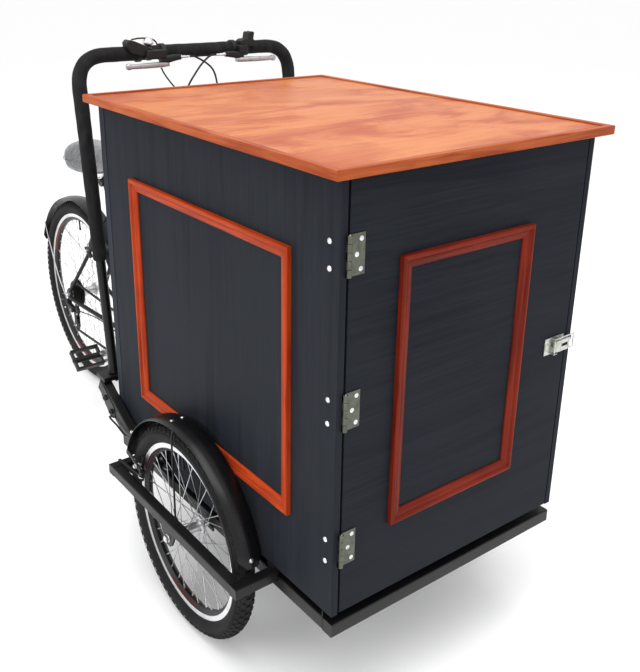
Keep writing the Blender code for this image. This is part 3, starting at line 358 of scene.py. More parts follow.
# Darker than the side moulding: partly its own stain, partly painted shade on the door face.
DOOR_TRIM = stained_pine("door_moulding_pine", shade(110, 32, 16), shade(84, 21, 10))
PAINT = black_paint()
GUARD_PAINT = black_paint("black_mudguard_gloss", level=9, roughness=0.24)
ZINC = metal("latch_zinc", "zinc_plate", shade(196, 198, 190), shade(150, 150, 140), 0.34)
HINGE_ZINC = metal("aged_hinge_zinc", "zinc_plate", shade(98, 101, 90), shade(62, 64, 56), 0.36)
KEEPER_STEEL = metal("blackened_keeper", "zinc_plate", grey(60), grey(34), 0.45)
ARM_BLACK = black_paint("black_brake_arm", "alloy", 16, 0.32)
ALLOY = metal("bare_alloy", "alloy", grey(206), grey(150), 0.32, (40, 500, 40))
BRIGHT = metal("bright_bolts", "zinc_plate", grey(222), shade(150, 148, 144), 0.24, (200, 200, 200))
SPOKE_STEEL = metal("stainless_spokes", "alloy", grey(196), grey(120), 0.28, (20, 20, 20))
LEVER_ALLOY = metal("polished_levers", "alloy", grey(176, 4), grey(120, 4), 0.3, (60, 500, 60))
BRAKE_TRACK = turned_metal("machined_brake_track", "alloy", grey(226))
RIM_BLACK = black_paint("black_rim_anodised", "black_rim", 22, 0.3)
TYRE = rubber("tyre_rubber", "tyre_rubber", 17, 0.35)
PAD_RUBBER = rubber("brake_pad_rubber", "black_plastic", 20, 0.2)
FOAM = sleeve_foam()
PLASTIC = moulded("black_moulding", "black_plastic", 15)
GREY_PLASTIC = moulded("grey_moulding", "black_plastic", 34, 0.42)
VINYL = grained_vinyl()
CHAIN = metal("oiled_chain", "chain_steel", shade(74, 72, 68), shade(30, 28, 26), 0.38, (300, 300, 300),
    0.8)
HOUSING = rubber("cable_housing", "cable_housing", 18, 0.15, 300.0, 0.42)
RED_PRINT = plain_red("rim_red_band", "black_rim", shade(128, 26, 20))
LENS = reflector_red()
AMBER = plain_red("smoked_reflector", "black_plastic", shade(52, 26, 12))
# Side ply made 1.5 times as bright: painted highlight along the rear corners of the box.
CORNER_HIGHLIGHT_PLY = black_ply("black_corner_strip", (150, 150, 5), (26, 26, 1.5), 1.5)
DARK_PIN = metal("sunk_panel_pins", "zinc_plate", shade(60, 40, 34), shade(30, 22, 20), 0.5)
DARK_BOLT = metal("blackened_bolts", "black_steel", grey(70), grey(34), 0.42)


# Shapes

def corner_frames(points):
    """Two cross directions at each point of a path, turned as little as possible."""
    path = [Vector(p) for p in points]
    result, across = [], None
    for i, point in enumerate(path):
        ahead = (path[min(i + 1, len(path) - 1)] - point).normalized()
        behind = (point - path[max(i - 1, 0)]).normalized()
        along = (ahead + behind).normalized()
        if across is None:
            guide = V(0, 0, 1) if abs(along.z) < 0.8 else V(1, 0, 0)
            across = guide.cross(along).normalized()
        across = (across - along * across.dot(along)).normalized()
        result.append((point, across, along.cross(across)))
    return result


def flow(points, spare=4):
    """A smooth curve through points, with spare extra points in each span."""
    points = [Vector(p) for p in points]
    ends = [points[0] * 2 - points[1], *points, points[-1] * 2 - points[-2]]
    result = []
    for a, b, c, d in zip(ends, ends[1:], ends[2:], ends[3:]):
        for k in range(spare + 1):
            t = k / (spare + 1)
            result.append(0.5 * (2 * b + (c - a) * t + (2 * a - 5 * b + 4 * c - d) * t * t
                + (3 * b - a - 3 * c + d) * t ** 3))
    return result + [points[-1]]


def bent(points, radius, steps=8):
    """A path of straight runs with its corners rounded to a bending radius."""
    points = [Vector(p) for p in points]
    result = [points[0]]
    for a, b, c in zip(points, points[1:], points[2:]):
        back, on = (a - b).normalized(), (c - b).normalized()
        half = back.angle(on) / 2
        reach = min(radius / tan(half), (a - b).length * 0.49, (c - b).length * 0.49)
        for k in range(steps + 1):
            t = k / steps
            result.append(b + back * reach * (1 - t) ** 2 + on * reach * t ** 2)
    return result + [points[-1]]


def rounded(width, height, radius, steps=3):
    """A rectangle with rounded corners, as (across, up) points."""
    points = []
    for cx, cy, start in ((1, 1, 0), (-1, 1, 90), (-1, -1, 180), (1, -1, 270)):
        for k in range(steps + 1):
            t = radians(start + 90 * k / steps)
            points.append((cx * (width / 2 - radius) + radius * cos(t), cy * (height / 2 - radius) + radius
                * sin(t)))
    return points


def softened(mesh, soft, segments):
    """Round off every edge of a bmesh."""
    if soft:
        bmesh.ops.bevel(mesh, geom=mesh.edges[:], offset=soft, segments=segments, profile=0.5,
            affect="EDGES")
    return mesh


class Form:
    """A mesh in the making, with UVs in metres."""

    def __init__(self):
        self.points, self.faces, self.uvs = [], [], []

    def skin(self, rings, loop=False, wrap=True):
        """Quads between rings of points, with flat ends unless they loop."""
        first, n, last = len(self.points), len(rings[0]), len(rings)
        for ring in rings:
            self.points.extend(Vector(p) for p in ring)
        along, around = [0.0], [0.0]
        for a, b in zip(rings, rings[1:] + rings[:1]):
            along.append(along[-1] + sum((Vector(p) - Vector(q)).length for p, q in zip(a, b)) / n)
        for j in range(n):
            around.append(around[-1] + (Vector(rings[0][j]) - Vector(rings[0][(j + 1) % n])).length)
        for i in range(last if loop else last - 1):
            a, b = first + i * n, first + (i + 1) % last * n
            for j in range(n if wrap else n - 1):
                k = (j + 1) % n
                self.faces.append((a + j, a + k, b + k, b + j))
                self.uvs.append(((along[i], around[j]), (along[i], around[j + 1]),
                    (along[i + 1], around[j + 1]), (along[i + 1], around[j])))
        if not loop:
            for start in (first, first + (last - 1) * n):
                self.faces.append(tuple(range(start, start + n)))
                self.uvs.append([(v, v * 0.5) for v in around[:n]])
        return self

    def take(self, mesh):
        """Add a bmesh, with its UVs laid flat on each face's own side."""
        mesh.normal_update()
        first = len(self.points)
        mesh.verts.index_update()
        self.points.extend(v.co.copy() for v in mesh.verts)
        for face in mesh.faces:
            size = [abs(c) for c in face.normal]
            a, b = ((1, 2), (0, 2), (0, 1))[size.index(max(size))]
            self.faces.append(tuple(first + v.index for v in face.verts))
            self.uvs.append([(v.co[a], v.co[b]) for v in face.verts])
        mesh.free()
        return self

    def add(self, other, place=Matrix()):
        """Add a copy of another form."""
        first = len(self.points)
        self.points.extend(place @ p for p in other.points)
        self.faces.extend(tuple(first + i for i in face) for face in other.faces)
        self.uvs.extend(other.uvs)
        return self

    def block(self, low, high, soft=0.001, segments=2):
        """A box with softened edges."""
        low, high = Vector(low), Vector(high)
        low, high = (Vector(map(min, low, high)), Vector(map(max, low, high)))
        mesh = bmesh.new()
        bmesh.ops.create_cube(mesh, size=1, matrix=Matrix.Translation((low + high) / 2)
            @ Matrix.Diagonal((*(high - low), 1)))
        return self.take(softened(mesh, soft, segments))

    def plate(self, outline, push, soft=0.0008, segments=2):
        """A flat outline given a thickness, with softened edges."""
        mesh = bmesh.new()
        push = Vector(push)
        low = [mesh.verts.new(Vector(p)) for p in outline]
        high = [mesh.verts.new(Vector(p) + push) for p in outline]
        mesh.faces.new(low)
        mesh.faces.new(high)
        for i in range(len(low)):
            k = (i + 1) % len(low)
            mesh.faces.new((low[i], low[k], high[k], high[i]))
        bmesh.ops.recalc_face_normals(mesh, faces=mesh.faces)
        return self.take(softened(mesh, soft, segments))

    def tube(self, path, radius, sides=16, soft=0.0006):
        """A round bar along a path; radius may be one number or one for each point."""
        stations = corner_frames(path)
        radii = radius if isinstance(radius, (list, tuple)) else [radius] * len(stations)
        rings = [(*station, r) for station, r in zip(stations, radii)]
        soft = min(soft, min(radii) * 0.3)
        if soft:
            for index, inward in ((0, 1), (-1, -1)):
                point, u, v, r = rings[index]
                along = u.cross(v) * inward
                rings[index] = (point + along * soft, u, v, r)
                edge = (point, u, v, r - soft)
                rings = [edge, *rings] if index == 0 else [*rings, edge]
        return self.skin([[p + r * (cos(t) * u + sin(t) * v) for t in turns(sides)] for p, u, v,
            r in rings])

    def bar(self, path, section, up=(0, 0, 1)):
        """A bar of any section along a path; up is the way the section's second axis faces."""
        path, up = [Vector(p) for p in path], Vector(up)
        rings = []
        for i, point in enumerate(path):
            ahead = (path[min(i + 1, len(path) - 1)] - point).normalized()
            behind = (point - path[max(i - 1, 0)]).normalized()
            along = (ahead + behind).normalized()
            side = along.cross(up).normalized()
            top = side.cross(along).normalized()
            rings.append([point + side * a + top * b for a, b in section])
        return self.skin(rings)

    def spun(self, profile, centre, axis="X", steps=48, closed=True):
        """(radius, along) points spun about an axis; closed profiles are hollow."""
        centre = Vector(centre)
        order = {"X": (1, 2, 0), "Y": (2, 0, 1), "Z": (0, 1, 2)}[axis]
        rings = []
        for t in turns(steps):
            ring = []
            for radius, along in profile:
                p = V(0, 0, 0)
                p[order[0]], p[order[1]], p[order[2]] = radius * cos(t), radius * sin(t), along
                ring.append(centre + p)
            rings.append(ring)
        return self.skin(rings, loop=True, wrap=closed)

    def lathed(self, profile, steps):
        """A solid (radius, height) profile spun about Z at the origin."""
        return self.spun(profile, (0, 0, 0), "Z", steps, closed=False)

    def disc(self, radius, start, end, centre, axis="X", steps=20, soft=0.0006):
        """A short round piece with softened rims."""
        start, end = sorted((start, end))
        soft = min(soft, radius * 0.3, (end - start) * 0.3)
        return self.spun([(0, start), (radius - soft, start), (radius, start + soft), (radius, end - soft),
            (radius - soft, end), (0, end)], centre, axis, steps, closed=False)

    def mesh(self, name, finish, angle=38):
        """A finished mesh: doubles merged, faces outwards, smooth but for real edges."""
        build = bmesh.new()
        layer = build.loops.layers.uv.new("UVMap")
        points = [build.verts.new(p) for p in self.points]
        for face, uvs in zip(self.faces, self.uvs):
            made = build.faces.new([points[i] for i in face])
            for loop, uv in zip(made.loops, uvs):
                loop[layer].uv = uv
        bmesh.ops.remove_doubles(build, verts=build.verts, dist=2e-6)
        bmesh.ops.recalc_face_normals(build, faces=build.faces)
        data = bpy.data.meshes.new(name)
        build.to_mesh(data)
        build.free()
        data.materials.append(finish.material)
        return shaded(data, angle)


def shaded(data, angle):
    """Smooth shading, with edges sharper than an angle kept sharp."""
    data.shade_smooth()
    data.set_sharp_from_angle(angle=radians(angle))
    return data


def placed(name, data):
    """A new object in the scene."""
    made = bpy.data.objects.new(name, data)
    bpy.context.scene.collection.objects.link(made)
    return made


def evaluated(thing):
    """A plain mesh of an object with its modifiers worked out."""
    bpy.context.view_layer.update()
    return bpy.data.meshes.new_from_object(thing.evaluated_get(bpy.context.evaluated_depsgraph_get()))


def settle(name, data, body, stands_for=()):
    """Put a finished mesh on its body, in place of these nodes of the frame."""
    piece = placed(name, data)
    piece.modifiers.new("flat_faces", "WEIGHTED_NORMAL").keep_sharp = True
    if stands_for:
        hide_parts(*stands_for)
    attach(piece, body)
    return piece


def make(name, form, finish, body, *stands_for, angle=38):
    """A named piece from a form."""
    return settle(name, form.mesh(name, finish, angle), body, stands_for)


# Repeats, in geometry nodes

def repeat_tree(name, sockets, wiring):
    """A tree that sets out copies of a part, then makes them real and paints them."""
    tree = bpy.data.node_groups.new(name, "GeometryNodeTree")
    for label, kind in (("Part", "Geometry"), *sockets, ("Finish", "Material")):
        tree.interface.new_socket(label, in_out="INPUT", socket_type="NodeSocket" + kind)
    tree.interface.new_socket("Copies", in_out="OUTPUT", socket_type="NodeSocketGeometry")
    given = tree.nodes.new("NodeGroupInput")
    given = {socket.name: Wire(tree, socket) for socket in given.outputs if socket.name}
    spread = wiring(lambda kind, inputs, output=0, **s: add_node(tree, kind, inputs, output, **s), given)
    real = add_node(tree, "GeometryNodeRealizeInstances", {0: spread}, 0)
    painted = add_node(tree, "GeometryNodeSetMaterial", {"Geometry": real, "Material": given["Finish"]}, 0)
    result = tree.nodes.new("NodeGroupOutput")
    tree.links.new(painted.socket, result.inputs[0])
    return tree


def round_axle(node, given):
    """Copies of the part turned about an X axis through Centre."""
    home = node("GeometryNodeTransform",
        {"Geometry": given["Part"],
        "Translation": node("ShaderNodeVectorMath", {0: given["Centre"], 1: (-1, -1, -1)},
        operation="MULTIPLY")})
    spots = node("GeometryNodePoints", {"Count": given["Count"], "Position": given["Centre"]})
    angle = node("GeometryNodeInputIndex", {}) * given["Step"]
    turn = node("FunctionNodeEulerToRotation", {0: node("ShaderNodeCombineXYZ", {"X": angle})})
    return node("GeometryNodeInstanceOnPoints", {"Points": spots, "Instance": home, "Rotation": turn})


def at_spots(node, given):
    """Copies of the part at the points of another piece, each turned by its own turn."""
    spots = node("GeometryNodeObjectInfo", {"Object": given["Spots"]}, "Geometry")
    turn = node("GeometryNodeInputNamedAttribute", {"Name": "turn"}, 0, data_type="FLOAT_VECTOR")
    turn = node("FunctionNodeEulerToRotation", {0: turn})
    return node("GeometryNodeInstanceOnPoints",
        {"Points": spots, "Instance": given["Part"], "Rotation": turn})


ROUND = repeat_tree("set_round_an_axle", [("Count", "Int"), ("Centre", "Vector"), ("Step", "Float")],
    round_axle)
SPOTS = repeat_tree("set_at_spots", [("Spots", "Object")], at_spots)


def repeated(name, form, finish, tree, angle=38, **values):
    """The plain mesh of a form repeated by a tree."""
    carrier = placed(name, form.mesh(name + "_one", finish, angle))
    step = carrier.modifiers.new("repeat", "NODES")
    step.node_group = tree
    values["Finish"] = finish.material
    for socket in tree.interface.items_tree:
        if socket.in_out == "INPUT" and socket.name in values:
            step[socket.identifier] = values[socket.name]
    data = evaluated(carrier)
    data.name = name
    bpy.data.objects.remove(carrier)
    return shaded(data, angle)


def ring_of(name, form, finish, body, centre, count, angle=38):
    """A form repeated all the way round an axle."""
    data = repeated(name, form, finish, ROUND, angle, Count=count, Centre=tuple(centre),
        Step=2 * pi / count)
    return settle(name, data, body)


def set_out(name, form, finish, body, spots, angle=38):
    """A form, made facing +Z at the origin, set at (point, facing) or (point, rotation) spots."""
    cloud = bpy.data.meshes.new("spots")
    cloud.from_pydata([tuple(point) for point, _ in spots], [], [])
    attribute = cloud.attributes.new("turn", "FLOAT_VECTOR", "POINT")
    for entry, (_, toward) in zip(attribute.data, spots):
        rotation = toward if isinstance(toward, Matrix) else facing(toward)
        entry.vector = rotation.to_euler()
    holder = placed("spots", cloud)
    data = repeated(name, form, finish, SPOTS, angle, Spots=holder)
    bpy.data.objects.remove(holder)
    return settle(name, data, body)


def countersunk_screw(radius=0.0032):
    """A cross-head screw let in flush."""
    form = Form().lathed([(0, -0.0006), (radius, -0.0006), (radius, 0.0002), (radius * 0.8, 0.0005),
        (0, 0.0006)], 14)
    for turn in (0, pi / 2):
        across, lift = V(cos(turn), sin(turn), 0), V(0, 0, 0.00062)
        form.bar([across * -radius * 0.55 + lift, across * radius * 0.55 + lift],
            rounded(radius * 0.2, 0.0002, 0.00005, 1))
    return form


def dome_bolt(radius=0.0055, height=0.0028, washer=0.0):
    """A dome-headed coach bolt."""
    form = Form().lathed([(0, -0.0005), (radius, -0.0005), (radius, height * 0.12),
        (radius * 0.92, height * 0.42), (radius * 0.7, height * 0.76), (radius * 0.36, height * 0.96),
        (0, height)], 18)
    if washer:
        form.disc(washer, -0.0004, 0.0006, (0, 0, 0), "Z", 20, 0.0002)
    return form


def nut(size, depth, stud=0.0):
    """A hexagon nut with a chamfer, and the stud through it."""
    form = Form().lathed([(0, 0), (size, 0), (size, depth * 0.82), (size * 0.86, depth), (0, depth)], 6)
    if stud:
        form.lathed([(0, depth), (stud, depth), (stud, depth + 0.0026), (stud * 0.7, depth + 0.0034),
            (0, depth + 0.0034)], 14)
    return form


def axle_nut(depth):
    """A washer with its nut on top."""
    washer = Form().disc(0.0095, 0, 0.0012, (0, 0, 0), "Z", 24, 0.0003)
    return washer.add(nut(0.0085, depth), Matrix.Translation((0, 0, 0.0012)))


# The box

def build_boards():
    """Black plywood walls, floor and door, and the orange lid."""
    for hand, side in HANDS.items():
        low, high = ends_of("side_panel_" + hand)
        board = Form().block(low, high, 0.0009)
        make("side_board_" + hand, board, BLACK_SIDE, "chassis", "side_panel_" + hand)
        face = max(abs(low.x), abs(high.x)) * side
        # A lighter strip at the rear edge of each side board: painted highlight on the corner.
        strip = Form().block((face - side * 0.0002, BOX_BACK - 0.026, WALL_LOW + 0.001),
            (face + side * 0.0009, BOX_BACK - 0.0006, WALL_TOP - 0.001), 0.0004)
        make("rear_corner_strip_" + hand, strip, CORNER_HIGHLIGHT_PLY, "chassis")
    for node, name, finish, body in (("rear_panel", "rear_board", BLACK_SIDE, "chassis"),
            ("box_floor", "floor_board", BLACK_EDGE, "chassis"),
            ("door_panel", "door_board", BLACK_DOOR, "door")):
        low, high = ends_of(node)
        make(name, Form().block(low, high, 0.0009), finish, body, node)
    low, high = ends_of("lid_board")
    make("lid_top", Form().block(low, high, 0.0006), LID_PLY, "chassis", "lid_board")


def strips(corners, section, gap=0.00012):
    """Four mitred strips round a rectangle of corners; section is (inset, height) points."""
    form = Form()
    face = (corners[1] - corners[0]).cross(corners[2] - corners[1]).normalized()
    for i in range(4):
        rings = []
        for here, away in ((i, (i + 1) % 4), ((i + 1) % 4, i)):
            corner = corners[here]
            along = (corners[away] - corner).normalized()
            before = corners[(2 * here - away) % 4]
            inward = (before - corner).normalized()
            rings.append([corner + (along + inward) * inset + along * gap + face * height for inset,
                height in section])
        form.skin(rings)
    return form


def build_lid_edging():
    """Edging strips proud of the lid's board, mitred and pinned."""
    low, high = ends_of("lid_edging")
    width, tall = 0.014, high.z - low.z
    corners = [V(low.x, low.y, low.z), V(high.x, low.y, low.z), V(high.x, high.y, low.z),
        V(low.x, high.y, low.z)]
    soft = 0.0016
    section = [(0, soft), (0, tall - soft)]
    section += [(soft - soft * cos(t), tall - soft + soft * sin(t))
        for t in (radians(30), radians(60), radians(90))]
    section += [(width - soft, tall), (width - soft * 0.3, tall - soft * 0.3), (width, tall - soft),
        (width, 0), (soft, 0)]
    make("lid_edging_strips", strips(corners, section), LID_TRIM, "chassis", "lid_edging")
    pins = []
    for x in (low.x, high.x):
        facing = (1 if x > 0 else -1, 0, 0)
        for k in range(5):
            y = low.y + (high.y - low.y) * (0.06 + 0.22 * k)
            pins.append((V(x, y, (low.z + high.z) / 2), facing))
    for k in range(4):
        x = low.x + (high.x - low.x) * (0.08 + 0.28 * k)
        pins += [(V(x, y, (low.z + high.z) / 2), (0, way, 0)) for y, way in ((low.y, -1), (high.y, 1))]
    set_out("lid_edging_pins", dome_bolt(0.0011, 0.0002), DARK_PIN, "chassis",
        [(point - Vector(facing) * 0.0003, facing) for point, facing in pins])


def build_mouldings():
    """Picture-frame mouldings: a round outer bead, then a slope to a thin inner edge."""
    jobs = [("side_moulding_right", SIDE_TRIM, "chassis"), ("side_moulding_left", SIDE_TRIM, "chassis"),
        ("door_moulding", DOOR_TRIM, "door")]
    for node, finish, body in jobs:
        low, high = ends_of(node)
        thick = min(high.x - low.x, high.y - low.y)
        if node == "door_moulding":
            start, end = (low.x, high.y), (high.x, high.y)
        elif node.endswith("left"):
            start, end = (low.x, low.y), (low.x, high.y)
        else:
            start, end = (high.x, high.y), (high.x, low.y)
        corners = [V(*start, low.z), V(*end, low.z), V(*end, high.z), V(*start, high.z)]
        section = [(0, 0), (0, thick * 0.7)]
        section += [(0.0048 - 0.0048 * cos(t), thick * 0.7 + thick * 0.3 * sin(t))
            for t in (radians(a) for a in (30, 60, 90, 120, 150, 180))]
        section += [(0.0106, thick * 0.6), (0.0125, thick * 0.64), (0.017, thick * 0.6),
            (0.0215, thick * 0.48), (0.0248, thick * 0.36), (0.026, thick * 0.22), (0.026, 0)]
        make(node + "_strips", strips(corners, section), finish, body, node)
        middle = sum(corners, Vector()) / 4
        face = (corners[1] - corners[0]).cross(corners[2] - corners[1]).normalized()
        holes = []
        for i in range(4):
            a, b = corners[i], corners[(i + 1) % 4]
            inward = (middle - (a + b) / 2).normalized()
            for k in range(3):
                spot = a + (b - a) * (0.14 + 0.36 * k) + inward * 0.0145 + face * (thick * 0.615)
                holes.append((spot, face))
        set_out(node + "_pins", dome_bolt(0.001, 0.0002), DARK_PIN, body, holes)


def build_hinges():
    """Stamped butt hinges: knuckles with gaps, a headed pin and let-in screws."""
    axis = AT["door_hinge"]
    screws = []
    for level in ("top", "middle", "bottom"):
        low, high = ends_of("hinge_%s_fixed" % level)
        door_low, door_high = ends_of("hinge_%s_moving" % level)
        z0, z1 = door_low.z, door_high.z
        fifth, knuckle = (z1 - z0) / 5, 0.0044
        bottom, top = min(low.z, z0 - 0.001), max(high.z, z1 + 0.001)
        fixed = Form().block((low.x, low.y + 0.0045, z0), (low.x + 0.0016, high.y, z1), 0.0005)
        moving = Form().block((axis.x + 0.0024, door_high.y - 0.0017, z0), (door_high.x, door_high.y, z1),
            0.0005)
        for k in range(5):
            form = moving if k % 2 else fixed
            a, b = z0 + fifth * k + 0.0004, z0 + fifth * (k + 1) - 0.0004
            form.spun([(0.0021, a), (knuckle - 0.0005, a), (knuckle, a + 0.0005), (knuckle, b - 0.0005),
                (knuckle - 0.0005, b), (0.0021, b)], (axis.x, axis.y, 0), "Z", 24)
            if k % 2:
                form.block((axis.x + 0.0006, axis.y + 0.0018, a), (axis.x + 0.006, door_high.y, b), 0.0004)
            else:
                form.block((low.x, axis.y + 0.0002, a), (low.x + 0.0016, low.y + 0.009, b), 0.0004)
        make("hinge_%s_leaf_on_box" % level, fixed, HINGE_ZINC, "chassis", "hinge_%s_fixed" % level)
        make("hinge_%s_leaf_on_door" % level, moving, HINGE_ZINC, "door", "hinge_%s_moving" % level)
        pin = Form().disc(0.0018, bottom + 0.0003, top - 0.0003, (axis.x, axis.y, 0), "Z", 16, 0.0004)
        make("hinge_%s_pin" % level, pin, BRIGHT, "chassis")
        span, wide = z1 - z0, door_high.x - axis.x
        for across, up in ((0.76, 0.86), (0.5, 0.5), (0.76, 0.14)):
            screws.append((V(axis.x + wide * across, door_high.y - 0.0017, z0 + span * up), (0, -1, 0)))
    set_out("door_hinge_screws", countersunk_screw(0.0045), BRIGHT, "door", screws)
    bolts = [(P(-BOX_X, y, z), (-1, 0, 0)) for y, z in ((-0.421, 1.0515), (-0.422, 1.004), (-0.425, 0.7625),
        (-0.425, 0.7157), (-0.426, 0.4723), (-0.4265, 0.4253))]
    set_out("hinge_coach_bolts", dome_bolt(0.0056, 0.003), BRIGHT, "chassis", bolts)


EAR, WIRE, LEVER = 0.0178, 0.015, 0.0125     # half heights of the latch base, its bail and its lever


def build_latch():
    """Toggle latch: pressed base with ears, slotted lever, wire bail and hooked keeper."""
    low, high = ends_of("latch_base")
    pin, wire = AT["latch_lever_turn"], AT["latch_bail_turn"]
    back = high.y
    z = pin.z
    base = Form().block((low.x, back - 0.0018, low.z), (high.x, back, high.z), 0.0006)
    for ear in (-EAR, EAR):
        base.block((pin.x - 0.006, low.y, z + ear - 0.0008),
            (pin.x + 0.006, back - 0.0012, z + ear + 0.0008), 0.0005)
    base.block((low.x + 0.001, back - 0.0032, z - 0.006), (low.x + 0.012, back - 0.0015, z + 0.006), 0.0008)
    make("latch_base_plate", base, ZINC, "door", "latch_base")
    rivet = Form().disc(0.0015, z - EAR - 0.0006, z + EAR + 0.0006, (pin.x, pin.y, 0), "Z", 14, 0.0003)
    make("latch_rivet", rivet, BRIGHT, "door")
    spots = [(V(x, back - 0.0018, z + s), (0, -1, 0))
        for x, s in ((low.x + 0.006, 0.0125), (low.x + 0.006, -0.0125), (high.x - 0.006, 0.0125),
        (high.x - 0.006, -0.0125))]
    set_out("latch_screws", countersunk_screw(0.003), BRIGHT, "door", spots)

    blade, tip = Form(), ends_of("latch_lever")[1].x
    top = pin.y - 0.0045
    blade.block((pin.x - 0.002, top, z - LEVER), (pin.x + 0.015, top + 0.0018, z + LEVER), 0.0006)
    blade.block((pin.x + 0.037, top, z - LEVER), (tip, top + 0.0018, z + LEVER), 0.0006)
    for edge in (-1, 1):
        blade.block((pin.x + 0.013, top, z + edge * 0.0035),
            (pin.x + 0.039, top + 0.0018, z + edge * LEVER), 0.0005)
        blade.block((pin.x - 0.002, top + 0.0004, z + edge * 0.007),
            (tip - 0.004, top + 0.0042, z + edge * LEVER), 0.0005)
    blade.spun([(0.0019, z - LEVER), (0.0042, z - LEVER), (0.0042, z + LEVER), (0.0019, z + LEVER)],
        (pin.x, pin.y, 0), "Z", 20)
    make("latch_lever_blade", blade, ZINC, "latch_lever", "latch_lever")

    far = ends_of("latch_bail")[1]
    loop = [V(wire.x, wire.y, z + WIRE), V(BOX_X + 0.001, BOX_FRONT - 0.0078, z + WIRE),
        V(far.x - 0.0015, BOX_FRONT - 0.001, z + WIRE), V(far.x - 0.0015, BOX_FRONT - 0.001, z - WIRE),
        V(BOX_X + 0.001, BOX_FRONT - 0.0078, z - WIRE), V(wire.x, wire.y, z - WIRE)]
    bail = Form().tube(bent(loop, 0.004, 5), 0.0015, 10)
    make("latch_wire_bail", bail, BRIGHT, "latch_bail", "latch_bail")
    low, high = ends_of("latch_keeper")
    keeper = Form().block(low, (low.x + 0.0017, high.y, high.z), 0.0005)
    keeper.bar([V(x, low.y + 0.0012, z) for x in (low.x + 0.0008, high.x - 0.004, high.x - 0.0012)],
        rounded(0.0022, 0.012, 0.0007))
    make("latch_keeper_hook", keeper, KEEPER_STEEL, "chassis", "latch_keeper")
    spots = [(V(low.x + 0.0017, low.y + 0.021, z + s), (1, 0, 0)) for s in (-0.0105, 0.0105)]
    set_out("keeper_screws", countersunk_screw(0.003), BRIGHT, "chassis", spots)


# The chassis and the front wheels

TUBE = 0.03                            # square tube of the base frame
BASE_X = BOX_X - 0.002
MOUNT_TOP = 0.4463                      # where the push bar stands on its mounts
FRONT_TRACK, REAR_TRACK = 0.209, 0.2855                         # radii of the brake tracks
FRONT_ARMS, REAR_ARMS = 0.0335, 0.0475                          # brake arms, from the wheel's middle
BRAKE_OUT, BRAKE_ROUND = outward(radians(22.0)), turning(radians(22.0))


def square_tube(form, start, end, up=(0, 0, 1), size=TUBE, height=None):
    """A length of square tube with rolled corners."""
    return form.bar([start, end], rounded(size, height or size, 0.0028), up)


def weld_bead(form, path, radius=0.0026):
    """A rippled weld along a joint."""
    points = []
    for a, b in zip(path, path[1:]):
        count = max(2, int((Vector(b) - Vector(a)).length / 0.0028))
        points += [Vector(a).lerp(Vector(b), k / count) for k in range(count)]
    points.append(Vector(path[-1]))
    return form.tube(points, [radius * (1 if k % 2 else 0.82) for k in range(len(points))], 8, 0)


def build_base():
    """Welded ring of square tube under the box, two cross-members, spine and steering pin."""
    low, high = ends_of("base_frame")
    z0, top = low.z, WALL_LOW - 0.0003
    mid, half = (z0 + top) / 2, TUBE / 2
    x, front, back = BASE_X - half, BOX_FRONT + half, BOX_BACK - half
    form = Form()
    square_tube(form, (-BASE_X, front, mid), (BASE_X, front, mid))
    square_tube(form, (-BASE_X, back, mid), (BASE_X, back, mid))
    for side in (-1, 1):
        square_tube(form, (side * x, front + half - 0.001, mid), (side * x, back - half + 0.001, mid))
        for y in (front + half, back - half):
            weld_bead(form, [(side * (BASE_X - TUBE), y, top - 0.001), (side * BASE_X, y, top - 0.001)],
                0.0016)
            weld_bead(form, [(side * (BASE_X - 0.0006), y, mid - half + 0.003),
                (side * (BASE_X - 0.0006), y, top - 0.003)], 0.0016)
    for y in (-0.175, 0.175):
        at = P(0, y, mid)
        square_tube(form, (-x, at.y, mid), (x, at.y, mid), height=0.024)
    pin = AT["steering"]
    square_tube(form, P(0, 0.17, mid), (0, pin.y + 0.028, mid), size=0.05, height=0.028)
    post = P(0, 0.464, 0)
    square_tube(form, (0, post.y, z0 + 0.004), (0, post.y, high.z - 0.001), (0, 1, 0), 0.04, 0.024)
    square_tube(form, (0, post.y - 0.01, high.z - 0.013), (0, pin.y + 0.026, high.z - 0.013), size=0.044,
        height=0.025)
    weld_bead(form, [(-0.02, post.y + 0.013, high.z - 0.027), (0.02, post.y + 0.013, high.z - 0.027)])
    form.disc(0.0165, z0 + 0.01, high.z - 0.008, (0, pin.y, 0), "Z", 28)
    wheel = AT["wheel_left_spin"]
    for side in (-1, 1):
        form.block((side * (wheel.x - 0.0503), wheel.y - 0.02, 0.236),
            (side * (wheel.x - 0.055), wheel.y + 0.02, z0 + 0.012), 0.0012)
    make("base_ring", form, PAINT, "chassis", "base_frame")
    crown = nut(0.013, 0.009, 0.007)
    set_out("steering_pin_nut", crown, BRIGHT, "chassis", [(V(0, pin.y, high.z - 0.0002), (0, 0, 1))])


